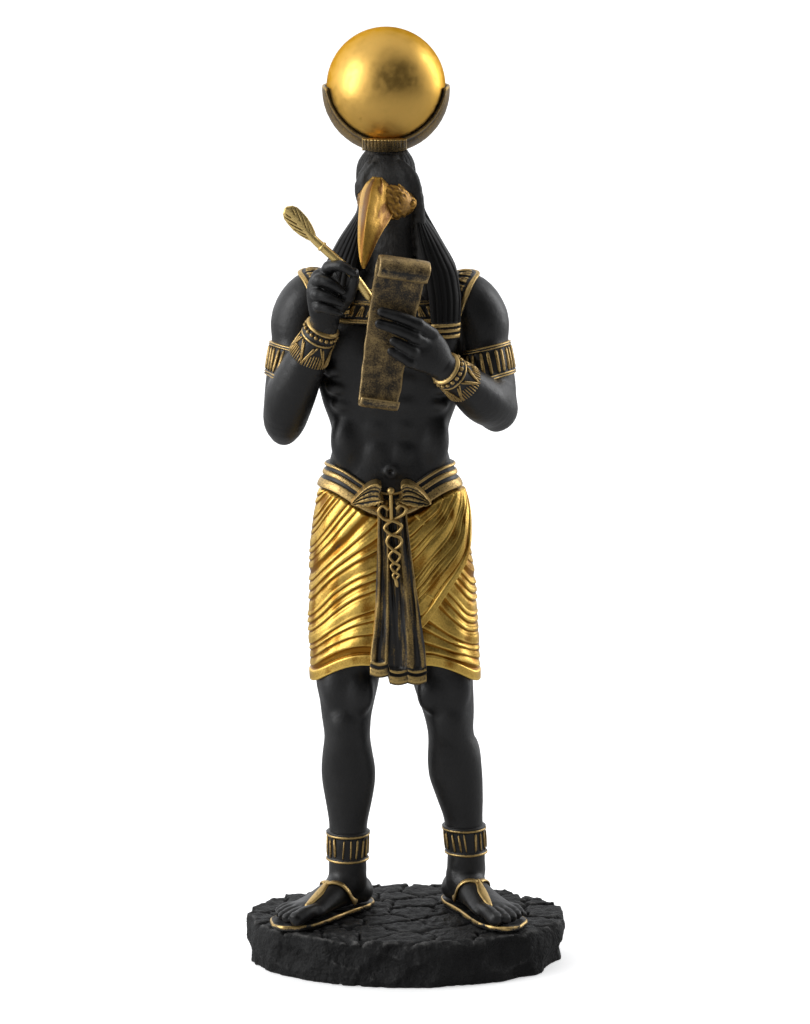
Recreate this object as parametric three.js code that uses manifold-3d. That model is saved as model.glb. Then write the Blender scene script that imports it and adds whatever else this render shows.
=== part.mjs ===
import * as THREE from 'three';
import { mergeVertices } from 'three/addons/utils/BufferGeometryUtils.js';
import Module from 'manifold-3d';

const wasm = await Module();
wasm.setup();

// Driving sizes in millimetres. +Z is up and the figure looks along -Y. The origin is the underside's middle.
const clearance = 0.3;
const base = { width: 105.4, depth: 70, height: 16, roughness: 1.3, sides: 36 };
const figureHeight = 254;
const disk = { radius: 19.1, segments: 24 };
const crescent = { wall: 1.4, drop: 0.8, rimGap: 0.2, mouthRise: 3.1, tipRise: 1.2, lift: 0.9, segments: 20 };
const stemRadius = 4.7;
const wrapBand = { halfWidth: 6.6, height: 4.4, thickness: 1.2 };
const scroll = {
  length: 42.9, topWidth: 16.6, bottomWidth: 12.8, thickness: 1.9, topRoll: 4.1, bottomRoll: 2.7, bow: 1.6,
};
const quill = { shaftRadius: 1.05, nibRadius: 0.75, bladeWidth: 7, bladeThickness: 1.9 };

// The figure is drawn on a grid of 254 parts from the soles to the crown. Its rows count in those parts.
const gridParts = 254;
const grid = figureHeight / gridParts;
const soleLevel = base.height + clearance;
const body = { x: -5.6, y: 2 };

// A place on the figure's grid, with z counted up from the soles.
function at(x, y, z) {
  return new THREE.Vector3(x * grid, y * grid, soleLevel + z * grid);
}

// A closed surface through rings of points, with both ends closed on the middle of their ring.
function loft(rings) {
  const count = rings[0].length;
  const points = rings.flat();
  const middle = (ring) => ring.reduce((sum, p) => sum.clone().add(p), new THREE.Vector3()).divideScalar(count);
  const start = points.push(middle(rings[0])) - 1;
  const finish = points.push(middle(rings[rings.length - 1])) - 1;
  const index = [];
  for (let row = 0; row < rings.length - 1; row += 1) {
    for (let side = 0; side < count; side += 1) {
      const next = (side + 1) % count;
      const a = row * count + side;
      const b = row * count + next;
      index.push(a, b, b + count, a, b + count, a + count);
    }
  }
  const last = (rings.length - 1) * count;
  for (let side = 0; side < count; side += 1) {
    const next = (side + 1) % count;
    index.push(start, next, side, finish, last + side, last + next);
  }
  const geometry = new THREE.BufferGeometry().setFromPoints(points);
  geometry.setIndex(index);
  return geometry;
}

// Turns a closed geometry into a solid: doubles merged, empty faces dropped, faces pointing out.
function solidOf(geometry) {
  const bare = new THREE.BufferGeometry();
  bare.setAttribute('position', geometry.getAttribute('position').clone());
  bare.setIndex(geometry.getIndex());
  const merged = mergeVertices(bare, 1e-4);
  const place = merged.getAttribute('position');
  const index = merged.getIndex().array;
  const corner = (i) => new THREE.Vector3().fromBufferAttribute(place, i);
  const faces = [];
  let volume = 0;
  for (let i = 0; i < index.length; i += 3) {
    const [a, b, c] = [index[i], index[i + 1], index[i + 2]];
    if (a !== b && b !== c && c !== a) {
      faces.push([a, b, c]);
      volume += corner(a).dot(corner(b).cross(corner(c)));
    }
  }
  const outward = volume > 0 ? faces : faces.map(([a, b, c]) => [a, c, b]);
  return new wasm.Manifold(new wasm.Mesh({
    numProp: 3,
    vertProperties: new Float32Array(place.array),
    triVerts: new Uint32Array(outward.flat()),
  }));
}

// The castings are solid right through, so a pocket shut in between joined forms is filled.
function filled(solid) {
  return wasm.Manifold.compose(solid.decompose().filter((shell) => shell.volume() > 0));
}

function fuse(geometries) {
  return filled(geometries.map(solidOf).reduce((whole, piece) => whole.add(piece)));
}

function geometryOf(solid) {
  const mesh = solid.getMesh();
  const geometry = new THREE.BufferGeometry();
  geometry.setAttribute('position', new THREE.BufferAttribute(new Float32Array(mesh.vertProperties), 3));
  geometry.setIndex(new THREE.BufferAttribute(new Uint32Array(mesh.triVerts), 1));
  geometry.computeVertexNormals();
  return geometry;
}

// Reads a table of rows, sorted by their first number, at any value between its rows.
function rowAt(rows, value) {
  const low = [...rows].sort((a, b) => a[0] - b[0]);
  if (value <= low[0][0]) return low[0];
  for (let i = 1; i < low.length; i += 1) {
    if (value <= low[i][0]) {
      const share = (value - low[i - 1][0]) / (low[i][0] - low[i - 1][0]);
      return low[i].map((end, k) => low[i - 1][k] + (end - low[i - 1][k]) * share);
    }
  }
  return low[low.length - 1];
}

const power = (value, exponent) => Math.sign(value) * Math.abs(value) ** exponent;
const smooth = (value) => {
  const t = Math.min(Math.max(value, 0), 1);
  return t * t * (3 - 2 * t);
};

// A level outline with its own depth in front and behind: angle 0 is the wearer's left, 90 degrees the back.
function outline(x, y, wide, front, back, angle, squareness = 1) {
  const c = power(Math.cos(angle), squareness);
  const s = power(Math.sin(angle), squareness);
  return [x + wide * c, y + (s < 0 ? front : back) * s];
}

// Rows are height, x, y, half width, depth in front, depth behind. push gives each point's extra reach.
function levelLoft(rows, sides, push = () => 0) {
  return loft(rows.map(([z, x, y, wide, front, back]) => {
    const ring = [];
    for (let side = 0; side < sides; side += 1) {
      const angle = (side / sides) * 2 * Math.PI;
      const extra = push(angle, z);
      const [px, py] = outline(x, y, wide + extra, front + extra, back + extra, angle);
      ring.push(at(px, py, z));
    }
    return ring;
  }));
}

// A limb through stations of x, y, z, radius across and radius in depth; facing sets which way depth looks.
function limb(stations, sides, facing = [0, -1, 0]) {
  const centres = stations.map(([x, y, z]) => at(x, y, z));
  const depthway = new THREE.Vector3(...facing);
  return loft(stations.map((station, i) => {
    const before = centres[Math.max(i - 1, 0)];
    const after = centres[Math.min(i + 1, centres.length - 1)];
    const along = after.clone().sub(before).normalize();
    const across = along.clone().cross(depthway).normalize();
    const deep = across.clone().cross(along).normalize();
    const ring = [];
    for (let side = 0; side < sides; side += 1) {
      const angle = (side / sides) * 2 * Math.PI;
      ring.push(centres[i].clone()
        .addScaledVector(across, Math.cos(angle) * station[3] * grid)
        .addScaledVector(deep, Math.sin(angle) * (station[4] ?? station[3]) * grid));
    }
    return ring;
  }));
}

// A sheet with two faces: pointAt gives the outer face, innerAt the face behind it, for u and v from 0 to 1.
function panel(columns, rows, pointAt, innerAt) {
  const rings = [];
  for (let row = 0; row <= rows; row += 1) {
    const ring = [];
    for (let column = 0; column <= columns; column += 1) ring.push(pointAt(column / columns, row / rows));
    for (let column = columns; column >= 0; column -= 1) ring.push(innerAt(column / columns, row / rows));
    rings.push(ring);
  }
  return loft(rings);
}

function ball(x, y, z, radius) {
  const geometry = new THREE.SphereGeometry(radius * grid, 8, 4);
  const place = at(x, y, z);
  return geometry.translate(place.x, place.y, place.z);
}

// A hoop of a closed section: section lists pairs of numbers, place turns an angle and a pair into a point.
function hoop(sides, section, place) {
  const geometry = new THREE.BufferGeometry();
  const points = [];
  const index = [];
  for (let side = 0; side < sides; side += 1) {
    const angle = (side / sides) * 2 * Math.PI;
    for (const [height, reach] of section) points.push(place(angle, height, reach));
  }
  const count = section.length;
  for (let side = 0; side < sides; side += 1) {
    for (let k = 0; k < count; k += 1) {
      const a = side * count + k;
      const b = side * count + ((k + 1) % count);
      const c = ((side + 1) % sides) * count + ((k + 1) % count);
      const d = ((side + 1) % sides) * count + k;
      index.push(a, b, c, a, c, d);
    }
  }
  geometry.setFromPoints(points);
  geometry.setIndex(index);
  return geometry;
}

// Trunk: height, half width, depth in front, depth behind, from inside the kilt to inside the wig.
const trunkRows = [
  [138, 20.6, 12, 12], [151.6, 19.9, 11.4, 11], [155.4, 18.8, 11, 10.4], [159.7, 18.4, 10.8, 10],
  [165, 19.4, 11.3, 10.3], [171.3, 21.8, 12.4, 11], [180, 23.8, 13.6, 11.5], [188, 25.4, 14.6, 11.7],
  [196, 26.6, 14, 11.6], [203, 27.4, 12.4, 11], [208.4, 26, 10, 9.6], [211.6, 19, 8.4, 8.6], [216, 10, 7.2, 7.8],
];

// Chest, ribs, midline and belly: extra reach on the front of the trunk.
function muscle(angle, z) {
  const bump = (value, middle, spread) => Math.exp(-(((value - middle) / spread) ** 2));
  const forward = Math.max(-Math.sin(angle), 0);
  const aside = Math.abs(Math.cos(angle));
  const chest = 1.5 * bump(aside, 0.42, 0.26) * bump(z, 193, 9);
  const midline = -0.7 * bump(aside, 0, 0.1) * smooth((z - 150) / 8);
  const belly = z < 178 ? 0.5 * bump(aside, 0.22, 0.16) * Math.max(Math.cos((z - 155) * 0.52), 0) : 0;
  return forward * (chest + midline + belly);
}

function trunk() {
  const rows = trunkRows.map(([z, wide, front, back]) => [z, body.x, body.y, wide, front, back]);
  return levelLoft(rows, 16, muscle);
}

// Legs: height, x, y, half width, depth in front, depth behind.
const legRows = {
  right: [
    [96, -18.6, 2.5, 11.6, 11, 12], [77.5, -19.7, 1.6, 10.3, 10.4, 10.8], [72, -19.7, 1.2, 9, 9.6, 9.6],
    [67, -20, 0.6, 8.2, 9.2, 8.2], [59.8, -19.7, 0.4, 7.4, 9.2, 7.2], [54.7, -19.7, 0.8, 8.2, 8, 8.4],
    [47.9, -19.4, 1.6, 9, 7.4, 10], [43.1, -19.3, 1.8, 8.7, 7, 9.8], [36.3, -19.3, 2, 7.5, 6.6, 8.4],
    [30, -19.5, 2, 6.3, 6, 6.8], [17, -20.4, 1.6, 5.3, 5.2, 5.8], [9, -20.6, 1.4, 5.6, 5.8, 5.8],
  ],
  left: [
    [96, 10.6, 3.5, 11.6, 11, 12], [77.2, 11.8, 3, 9.9, 10.4, 10.8], [72, 12.8, 2.8, 9.2, 9.6, 9.6],
    [67, 13.8, 2.4, 8.3, 9.2, 8.2], [61, 14.3, 2.2, 7.4, 9.2, 7.2], [57, 15, 2.6, 8, 8, 8.4],
    [51, 15.6, 3.4, 8.9, 7.4, 10], [45, 16.1, 3.8, 8.9, 7, 9.8], [37, 17.6, 4.4, 7.6, 6.6, 8.4],
    [31, 18.6, 4.8, 6.4, 6, 6.8], [18, 19.9, 5, 5.3, 5.2, 5.8], [9, 20.2, 5, 5.6, 5.8, 5.8],
  ],
};

// Each foot: the heel's centre, the turn out from straight ahead, and the anklet's level on the leg above.
const feet = {
  right: { heel: [-16.6, 6], turn: -42, anklet: { low: 17, high: 27.4, rim: 0.8 } },
  left: { heel: [16.8, 10], turn: 28, anklet: { low: 18.4, high: 28.6, rim: 0.8 } },
};

// A point of a foot: along it from the heel, across it away from the other foot, and up.
function footPoint(foot, along, across, up) {
  const turn = THREE.MathUtils.degToRad(foot.turn);
  const outer = Math.sign(foot.turn);
  const [forwardX, forwardY] = [Math.sin(turn), -Math.cos(turn)];
  const [outX, outY] = [Math.cos(turn) * outer, Math.sin(turn) * outer];
  return [foot.heel[0] + forwardX * along + outX * across, foot.heel[1] + forwardY * along + outY * across, up];
}

// Instep: along from the heel, half width, top, across of its middle.
const footRows = [
  [-5, 2.6, 7, 0], [-3, 4.8, 10, 0], [2, 5.5, 13, 0], [8, 5.5, 13.2, 0], [14, 5.9, 10, 0], [22, 7.1, 7, 0.3],
  [29.5, 7.6, 5, 0.4],
];
const footSides = 8;
const soleThickness = 2.1;
// Sole: along from the heel, half width, across of its middle.
const soleRows = [
  [-6.6, 2.8, 0], [-4.2, 5.6, 0], [1, 6.7, 0], [12, 6.6, 0.4], [20, 7.9, 0.6], [28, 9.2, 0.8],
  [34, 8.8, 0.8], [38.4, 4.6, 0.4],
];
// Toes, from the great toe out: across, start, end, radius.
const toes = [
  [-4.9, 26, 35.6, 2.3], [-1.1, 27, 35.8, 1.7], [2, 27, 34.6, 1.6], [4.8, 26, 32.8, 1.5], [7.2, 25, 30.6, 1.4],
];

function footAndSandal(foot) {
  const underside = 0.6;
  const squareness = 0.85;
  const ring = (along, half, middle, top) => {
    const points = [];
    for (let side = 0; side < footSides; side += 1) {
      const angle = (side / footSides) * 2 * Math.PI;
      const across = middle + half * power(Math.cos(angle), squareness);
      const up = (underside + top) / 2 + ((top - underside) / 2) * power(Math.sin(angle), squareness);
      points.push(at(...footPoint(foot, along, across, up)));
    }
    return points;
  };
  const instep = loft(footRows.map(([along, half, top, middle]) => ring(along, half, middle, top)));
  const sole = loft(soleRows.map(([along, half, middle]) => [
    at(...footPoint(foot, along, middle - half, 0)), at(...footPoint(foot, along, middle + half, 0)),
    at(...footPoint(foot, along, middle + half, soleThickness)),
    at(...footPoint(foot, along, middle - half, soleThickness)),
  ]));
  const toeSolids = toes.map(([across, start, end, radius]) => {
    const level = soleThickness + radius * 0.75;
    return limb([
      [...footPoint(foot, start, across, level + 0.5), radius],
      [...footPoint(foot, end, across, level - 0.2), radius * 0.8],
    ], 5, [0, 0, 1]);
  });
  const straps = [-1, 1].map((side) => limb([
    [...footPoint(foot, 28.5, -2.9, 5.8), 0.9], [...footPoint(foot, 20, -1.6 + side, 9), 1],
    [...footPoint(foot, 12.5, side * 4.2, 9.8), 1], [...footPoint(foot, 6, side * 6.2, 1.6), 1],
  ], 3, [0, 0, 1]));
  return [instep, sole, ...toeSolids, ...straps];
}

// A cuff's profile: share of its width, and share of how far its two rims stand out.
const cuffProfile = [[0, 0.1], [0.04, 1], [0.22, 1], [0.26, 0.35], [0.74, 0.35], [0.78, 1], [0.96, 1], [1, 0.1]];

// Stations of a limb with a cuff worked in: from and to count in stations, rim is how far its rims stand out.
function withCuff(stations, from, to, rim) {
  const stationAt = (place, extra) => {
    const low = Math.floor(place);
    const share = place - low;
    return stations[low].map((value, k) => value + (stations[low + 1][k] - value) * share + (k > 2 ? extra : 0));
  };
  const cuff = cuffProfile.map(([share, out]) => stationAt(from + (to - from) * share, rim * out));
  return [...stations.slice(0, Math.floor(from) + 1), ...cuff, ...stations.slice(Math.floor(to) + 1)];
}

// Leg rows with the anklet worked in between two heights above the sole.
function legWithAnklet(name) {
  const rows = legRows[name];
  const { low, high, rim } = feet[name].anklet;
  const cuff = cuffProfile.map(([share, out]) => {
    const row = rowAt(rows, high + (low - high) * share);
    return row.map((value, k) => value + (k > 2 ? rim * out : 0));
  });
  return levelLoft([...rows.filter(([z]) => z > high), ...cuff, ...rows.filter(([z]) => z < low)], 10);
}

// Arms: stations of x, y, z, radius across and radius in depth, from the shoulder to the wrist.
// Each cuff has its first and last place, counted in stations, and how far its rims stand out.
const arms = {
  right: {
    upper: [
      [-28.6, 3.4, 210.4, 4.4, 5.4], [-31.6, 3.4, 206.6, 8.2, 9.4],
      [-34.2, 3, 200, 9.6, 10.2], [-35.4, 2.6, 192, 8.4, 9.4],
      [-37, 2, 184, 8.2, 8.8], [-38.6, 0.8, 174, 7.8, 8.2],
      [-40, -0.4, 166.4, 6.4, 7], [-40.2, -0.8, 163, 4, 4.6],
    ],
    fore: [
      [-40, -0.6, 162.6, 4.6, 5], [-39.4, -2.6, 167.6, 7, 7.4],
      [-37.2, -7, 176.4, 7.9, 7.7], [-33.6, -11.6, 185.4, 7, 6.8],
      [-30, -15.4, 193, 5.4, 5.4], [-26.6, -18.8, 201, 4.8, 4],
    ],
    armlet: [3.2, 4.48, 0.75],
    bracelet: [3.5, 4.96, 0.7],
  },
  left: {
    upper: [
      [17.4, 3.4, 209.8, 4.4, 5.4], [20.4, 3.4, 206, 8.2, 9.4],
      [23, 3, 199.6, 9.6, 10.2], [24.2, 2.4, 192, 8.4, 9.4],
      [26, 1.6, 184, 8.2, 8.8], [27.6, 0.4, 176, 7.8, 8.2],
      [28.8, -1, 169.4, 6.2, 6.8], [28.8, -1.4, 166.4, 4, 4.4],
    ],
    fore: [
      [30.6, -0.6, 168.4, 4.4, 4.8], [28.8, -3, 170.6, 6.8, 7],
      [24.8, -9, 174.4, 7.7, 7.7], [20.4, -15, 179, 6.8, 6.8],
      [16.2, -20, 183.4, 5.4, 5.4], [11.4, -24.8, 188.4, 4.8, 4],
    ],
    armlet: [3.2, 4.55, 0.75],
    bracelet: [3.5, 4.9, 0.7],
  },
};

function arm(side) {
  const { upper, fore, armlet, bracelet } = arms[side];
  return [
    limb(withCuff(upper, ...armlet), 10),
    limb(withCuff(fore, ...bracelet), 9, [0, -1, 0.6]),
  ];
}

// The hand that holds the quill: palm, four curled fingers and the thumb, as stations of x, y, z, radius.
const quillHand = [
  [[-26.2, -19.4, 202, 4.8, 3.6], [-26, -21.4, 207, 6, 3.8], [-26.6, -22.2, 213, 6, 3.6], [-26.4, -22.6, 217, 4.6, 3]],
  [[-27, -22, 215.6, 2], [-24.6, -24.4, 220.4, 1.9], [-20.4, -26.2, 221.8, 1.7], [-16.6, -27.6, 220.6, 1.2]],
  [[-28.6, -22.4, 213.6, 2], [-28, -26, 216.4, 1.9], [-24.4, -28, 215.8, 1.8], [-21, -27.6, 213.4, 1.3]],
  [[-29.6, -22.6, 210.4, 1.9], [-28.6, -26.6, 212, 1.8], [-25, -28.4, 211.2, 1.7], [-21.4, -27.6, 209.4, 1.2]],
  [[-29.2, -22.6, 206.6, 1.7], [-28, -26.2, 208, 1.6], [-24.8, -27.8, 207.4, 1.5], [-22, -27, 206.2, 1.1]],
  [[-22.4, -20.6, 206, 2.4], [-19, -24.4, 211, 2.1], [-17, -27, 216, 1.8], [-16.6, -28.4, 219.6, 1.2]],
];
// The hand that holds the scroll: palm, four fingers across its front and the thumb behind it.
const scrollHand = [
  [[11.4, -24.6, 188.4, 4.6, 3.6], [9, -27, 191.4, 6.2, 3.4], [6.4, -28.8, 195, 6.4, 3], [4.6, -29.6, 197, 5, 2.4]],
  [[8, -28, 199.4, 2], [3.6, -31.6, 203, 1.8], [-2.6, -32.6, 205.6, 1.7], [-8.4, -32.4, 207.4, 1.3]],
  [[6.6, -29.4, 196, 2], [2.6, -32.2, 199, 1.8], [-3.2, -32.9, 201.6, 1.7], [-9, -32.6, 203.4, 1.3]],
  [[5, -29.6, 192.4, 1.9], [1.8, -32.2, 194.6, 1.8], [-1.2, -32.8, 196.6, 1.7], [-4.6, -32.6, 198.4, 1.3]],
  [[4.4, -29.2, 189, 1.7], [1, -31.8, 191, 1.6], [-2, -32.4, 193, 1.5], [-5.4, -32, 194.6, 1.1]],
  [[9.4, -24.8, 194.6, 2.4], [4.6, -24.6, 198.6, 2], [-0.6, -24.8, 201.4, 1.8], [-4.6, -25, 202.8, 1.2]],
];

function hand(parts, facing) {
  return parts.map((stations, i) => limb(stations, i === 0 ? 8 : 5, i === 0 ? facing : [0, -1, 0.3]));
}

// Wig: height, x, half width, depth in front, depth behind, on the body's own middle.
const wigRows = [
  [253.6, -6.6, 4.9, 4, 4.6], [251.6, -6.8, 7.4, 7, 8],
  [246.4, -6.9, 9.4, 9.6, 11.6], [240, -6.1, 10, 8.6, 13.4],
  [234.4, -5.2, 10.7, 6, 14.2], [226, -5.3, 15.6, 5.6, 15],
  [217, -5.3, 20.8, 5.6, 15.4], [211, -5.4, 22, 4.4, 15.5],
  [197, -5.4, 20.6, 3, 14.4],
];

// Strands run down the wig as shallow flutes.
function wig() {
  const strands = 16;
  const rows = wigRows.map(([z, x, wide, front, back]) => [z, x, body.y, wide, front, back]);
  const depth = (z) => 0.34 * smooth((252 - z) / 6);
  return levelLoft(rows, strands * 2, (angle, z) => depth(z) * Math.cos(strands * angle));
}

// Front lappets of the wig: from beside the cheek down to a banded end on the chest.
function lappet(side) {
  const middle = body.x;
  const [foot, top] = [195, 240];
  const rows = [
    [foot, 13.4, 22.6, -13.2], [200.4, 13.3, 22.8, -12.8], [208, 12.6, 23, -11.4], [216, 11.4, 21.8, -9.4],
    [226, 9.2, 16.4, -7.6], [234, 8.6, 11, -5], [top, 8.6, 9.4, -3.6],
  ];
  const levels = [0, 0.12, 0.121, 0.3, 0.5, 0.75, 1];
  const face = (lift) => (u, v) => {
    const share = levels[Math.round(v * (levels.length - 1))];
    const [z, inner, outer, front] = rowAt(rows, foot + (top - foot) * share);
    const bulge = lift * (1 - (2 * u - 1) ** 4 * 0.55) + (lift > 0 && share < 0.121 ? 0.8 : 0);
    const flute = lift > 0 && share > 0.12 ? 0.3 * Math.cos(u * 5 * Math.PI) : 0;
    return at(middle + side * (inner + (outer - inner) * u), front - bulge - flute + 3.4 * u ** 2, z);
  };
  return panel(5, levels.length - 1, face(2), face(-4));
}

// Head of the bird under the wig, with the bill curving down, and the cheek around the eye that shows.
function headAndBill() {
  const skull = levelLoft([
    [228, -5.4, 0.6, 5.6, 5.4, 7], [233, -5.6, -0.4, 7, 7.6, 8], [238, -6, -1.2, 8.2, 9.4, 9],
    [243, -6.4, -1.6, 8.6, 10.4, 9], [248, -6.7, -1.2, 7.8, 9.4, 8.6], [251.6, -6.8, -0.4, 5.6, 6.6, 6.6],
  ], 14);
  const bill = limb([
    [-7, -5, 241, 6.4, 7.2], [-8.8, -12, 241.6, 5.9, 6.4],
    [-10.2, -18, 239.4, 5, 4.9], [-11.4, -22.6, 235.4, 3.9, 3.6],
    [-12.4, -25.6, 230.8, 2.7, 2.5], [-13.2, -27.4, 226.2, 1.7, 1.6], [-13.7, -28.4, 222.4, 0.6, 0.6],
  ], 10, [0.2, -0.4, 1]);
  const cheek = { place: [-2.4, -5.6, 239.4], radius: 3.2 };
  return [skull, bill, ball(...cheek.place, cheek.radius)];
}

// Surface of the kilt: height, half width, depth in front, depth behind.
const hemLevel = 79.4;
const kiltTop = 150;
const kiltRows = [
  [hemLevel, 27.4, 14.4, 15.4], [83, 27.6, 14.6, 15.6], [98.8, 27.5, 14.4, 16], [106.9, 27.2, 14.3, 16.2],
  [115.3, 26.6, 14.2, 16.4], [125.4, 25.9, 14, 16.2], [133, 25, 13.8, 15.6], [138.7, 24, 13.5, 14.8],
  [144.4, 22.4, 12.8, 13.2], [kiltTop, 20.8, 12, 11.8],
];
const kiltMiddle = [[hemLevel, -3.9], [106.9, -4.9], [133, -5.6], [kiltTop, -5.5]];
const kiltSquareness = 0.92;

function kiltPoint(angle, z, lift) {
  const [, wide, front, back] = rowAt(kiltRows, z);
  const [, middle] = rowAt(kiltMiddle, z);
  const [x, y] = outline(middle, body.y, wide + lift, front + lift, back + lift, angle, kiltSquareness);
  return at(x, y, z);
}

// The angle from straight ahead, from 0 in front to pi at the back.
const fromFront = (angle) => Math.abs(Math.atan2(Math.cos(angle), -Math.sin(angle)));

// How far a place is drawn up to the front: 1 beside the sash, 0 well behind the hips.
const sashHalfAngle = 0.3;
const drawnAngle = 1.9;
const frontness = (angle) => 1 - THREE.MathUtils.clamp((fromFront(angle) - sashHalfAngle) / drawnAngle, 0, 1);

// The hem rises to the sash, and the belt dips to a blunt point in front with the kilt's upper edge under it.
const hemRise = 7.5;
const hemAt = (angle) => hemLevel + hemRise * smooth((frontness(angle) - 0.45) / 0.55);
const belt = { level: 144, height: 8, dip: 8.6 };
const beltDip = (angle) => belt.dip * Math.max(Math.cos(fromFront(angle) * 1.12), 0);
const kiltTopAt = (angle) => belt.level + belt.height * 0.42 - beltDip(angle);

// The pleats rise towards the sash and end under the belt, each lapping over the next one down.
function kilt() {
  const pleats = 12;
  const gathers = 36;
  const columns = 26;
  const [crest, valley, underBelt] = [0.7, -0.4, -0.5];
  const rows = pleats * 2;
  const rings = [];
  for (let row = 0; row <= rows; row += 1) {
    const ring = [];
    for (let column = 0; column < columns; column += 1) {
      const angle = (column / columns) * 2 * Math.PI;
      const [low, top] = [hemAt(angle), kiltTopAt(angle)];
      const z = low + (kiltTop - low + gathers * frontness(angle)) * (row / rows);
      const lift = row < 2 || row % 2 === 0 ? crest : valley;
      ring.push(z < top ? kiltPoint(angle, z, lift) : kiltPoint(angle, top, underBelt));
    }
    rings.push(ring);
  }
  return loft(rings);
}

// The flap that wraps over the left hip: its edge sweeps from the belt down to the sash.
function flap() {
  const edge = [[0, 100], [0.3, 106], [0.55, 114], [0.8, 127], [0.94, 138], [1, 145]];
  const [firstAngle, lastAngle] = [-82, -8];
  const pleats = 4;
  const face = (lift, relief) => (u, v) => {
    const [, low] = rowAt(edge, u);
    const angle = THREE.MathUtils.degToRad(firstAngle + (lastAngle - firstAngle) * u);
    const ridge = relief * Math.cos(v * pleats * 2 * Math.PI) * smooth((1 - u) * 6);
    return kiltPoint(angle, low + (kiltTopAt(angle) - low) * v, lift + ridge);
  };
  return panel(6, pleats * 2, face(1.7, 0.4), face(-1.5, 0));
}

// The belt's section: share of its height, and how far it stands off the waist, with three raised lines.
function beltBand() {
  const section = [[0, -3], [0.02, 1.6], [0.27, 0.9], [0.5, 1.7], [0.73, 0.9], [0.98, 1.6], [1, -3]];
  return hoop(24, section, (angle, share, reach) => {
    const z = belt.level + belt.height * share - beltDip(angle);
    const trunkRow = rowAt(trunkRows, z);
    const kiltRow = rowAt(kiltRows, z);
    const sizes = [1, 2, 3].map((k) => trunkRow[k] + (kiltRow[k] - trunkRow[k]) * smooth(1 - share) + reach);
    const [x, y] = outline(body.x, body.y, ...sizes, angle);
    return at(x, y, z);
  });
}

// The sash in front: height, middle, half width. It hangs in three folds and ends in a scalloped hem.
const sashRows = [
  [81, -3, 9.4], [84.7, -3, 9.3], [96.7, -3.5, 8.4], [110.7, -3.8, 7.2], [124.4, -4.1, 6], [138.3, -4.6, 4.9],
  [143, -5, 4.6],
];

function sash() {
  const folds = 3;
  const [foldDepth, hemDrop, crown] = [0.9, 1.4, 1.2];
  const [plane, front, back] = [-13.4, 2.2, -2.5];
  const [low, high] = [sashRows[0][0], sashRows[sashRows.length - 1][0]];
  const face = (lift) => (u, v) => {
    const [z, middle, half] = rowAt(sashRows, low + (high - low) * v);
    const fold = lift > 0 ? foldDepth * Math.cos(u * folds * 2 * Math.PI) * smooth((1.15 - v) * 1.6) : 0;
    const drop = v === 0 ? hemDrop * Math.abs(Math.sin(u * folds * Math.PI)) : 0;
    return at(middle + half * (2 * u - 1), plane - lift - fold + crown * (2 * u - 1) ** 2, z - drop);
  };
  return panel(folds * 4, 4, face(front), face(back));
}

// The winged staff with two entwined snakes that hangs from the belt over the sash.
function staff() {
  const [top, neck, tip] = [146, 142, 114.6];
  const [axisX, front, lean] = [-5, -16.6, 1.3];
  const rod = limb([[axisX, front, top, 0.8], [axisX + lean, front, tip, 0.6]], 5);
  const snake = { turns: 2, steps: 10, reach: 3.4, narrowing: 2.4, radius: 0.85, tapering: 0.3, proud: 0.7 };
  const snakes = [-1, 1].map((side) => {
    const stations = [];
    for (let step = 0; step <= snake.steps; step += 1) {
      const share = step / snake.steps;
      const swing = (snake.reach - snake.narrowing * share) * Math.cos(share * snake.turns * 2 * Math.PI);
      stations.push([
        axisX + 0.4 + lean * share * 0.7 + side * swing, front - snake.proud, neck - (neck - tip) * share,
        snake.radius - snake.tapering * share,
      ]);
    }
    return limb(stations, 3);
  });
  const wing = { root: 1, span: 12, low: 140.6, high: 144.4, arch: 2.4, lowFall: 1.2, highFall: 3.6, wrap: 2.4 };
  const wings = [-1, 1].map((side) => {
    const face = (lift) => (u, v) => {
      const high = wing.high + wing.arch * Math.sin(u * Math.PI) - wing.highFall * u;
      const low = wing.low - wing.lowFall * u;
      const across = axisX + 0.4 + side * (wing.root + wing.span * u);
      return at(across, front - 0.4 - lift + wing.wrap * u ** 2, low + (high - low) * v);
    };
    return panel(5, 2, face(0.8), face(-1.6));
  });
  return [rod, ball(axisX, front - 0.4, top + 0.6, 1.5), ...snakes, ...wings];
}

// Broad collar over the shoulders, from its inner edge at the neck to its outer edge, proud of the chest.
const collar = {
  inner: { x: -5.6, wide: 10, front: 8.4, back: 9, z: 217 },
  outer: { x: -5.8, wide: 28.4, front: 15.6, back: 14.4 },
  drop: { side: 5.6, front: 17, back: 13 },
  rim: 0.9,
};

function collarBand() {
  const section = [[0, -3], [0, collar.rim], [1, collar.rim], [1, -3]];
  return hoop(24, section, (angle, share, lift) => {
    const { inner, outer, drop } = collar;
    const forward = Math.max(-Math.sin(angle), 0);
    const behind = Math.max(Math.sin(angle), 0);
    const aside = Math.abs(Math.cos(angle));
    const between = (key) => inner[key] + (outer[key] - inner[key]) * share;
    const round = smooth((1 - aside) / 0.24);
    const fall = drop.side + ((forward > 0 ? drop.front : drop.back) - drop.side) * round;
    const [x, y] = outline(
      between('x'), body.y, between('wide') + lift * 0.3, between('front') + lift * forward,
      between('back') + lift * behind, angle,
    );
    return at(x, y, inner.z - fall * share + lift * (1 - 0.5 * forward));
  });
}

// The crescent is a bowl around the lower half of the sun disk. Its lowest point is just above the crown.
const crownX = -6.8 * grid;
const crownTop = soleLevel + 252.6 * grid;
const bowlRadius = disk.radius + crescent.wall;
const bowlDepth = bowlRadius * 0.85;
const bowlMiddle = crownTop + crescent.lift + bowlRadius;
const diskMiddle = bowlMiddle + crescent.drop;

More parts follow.
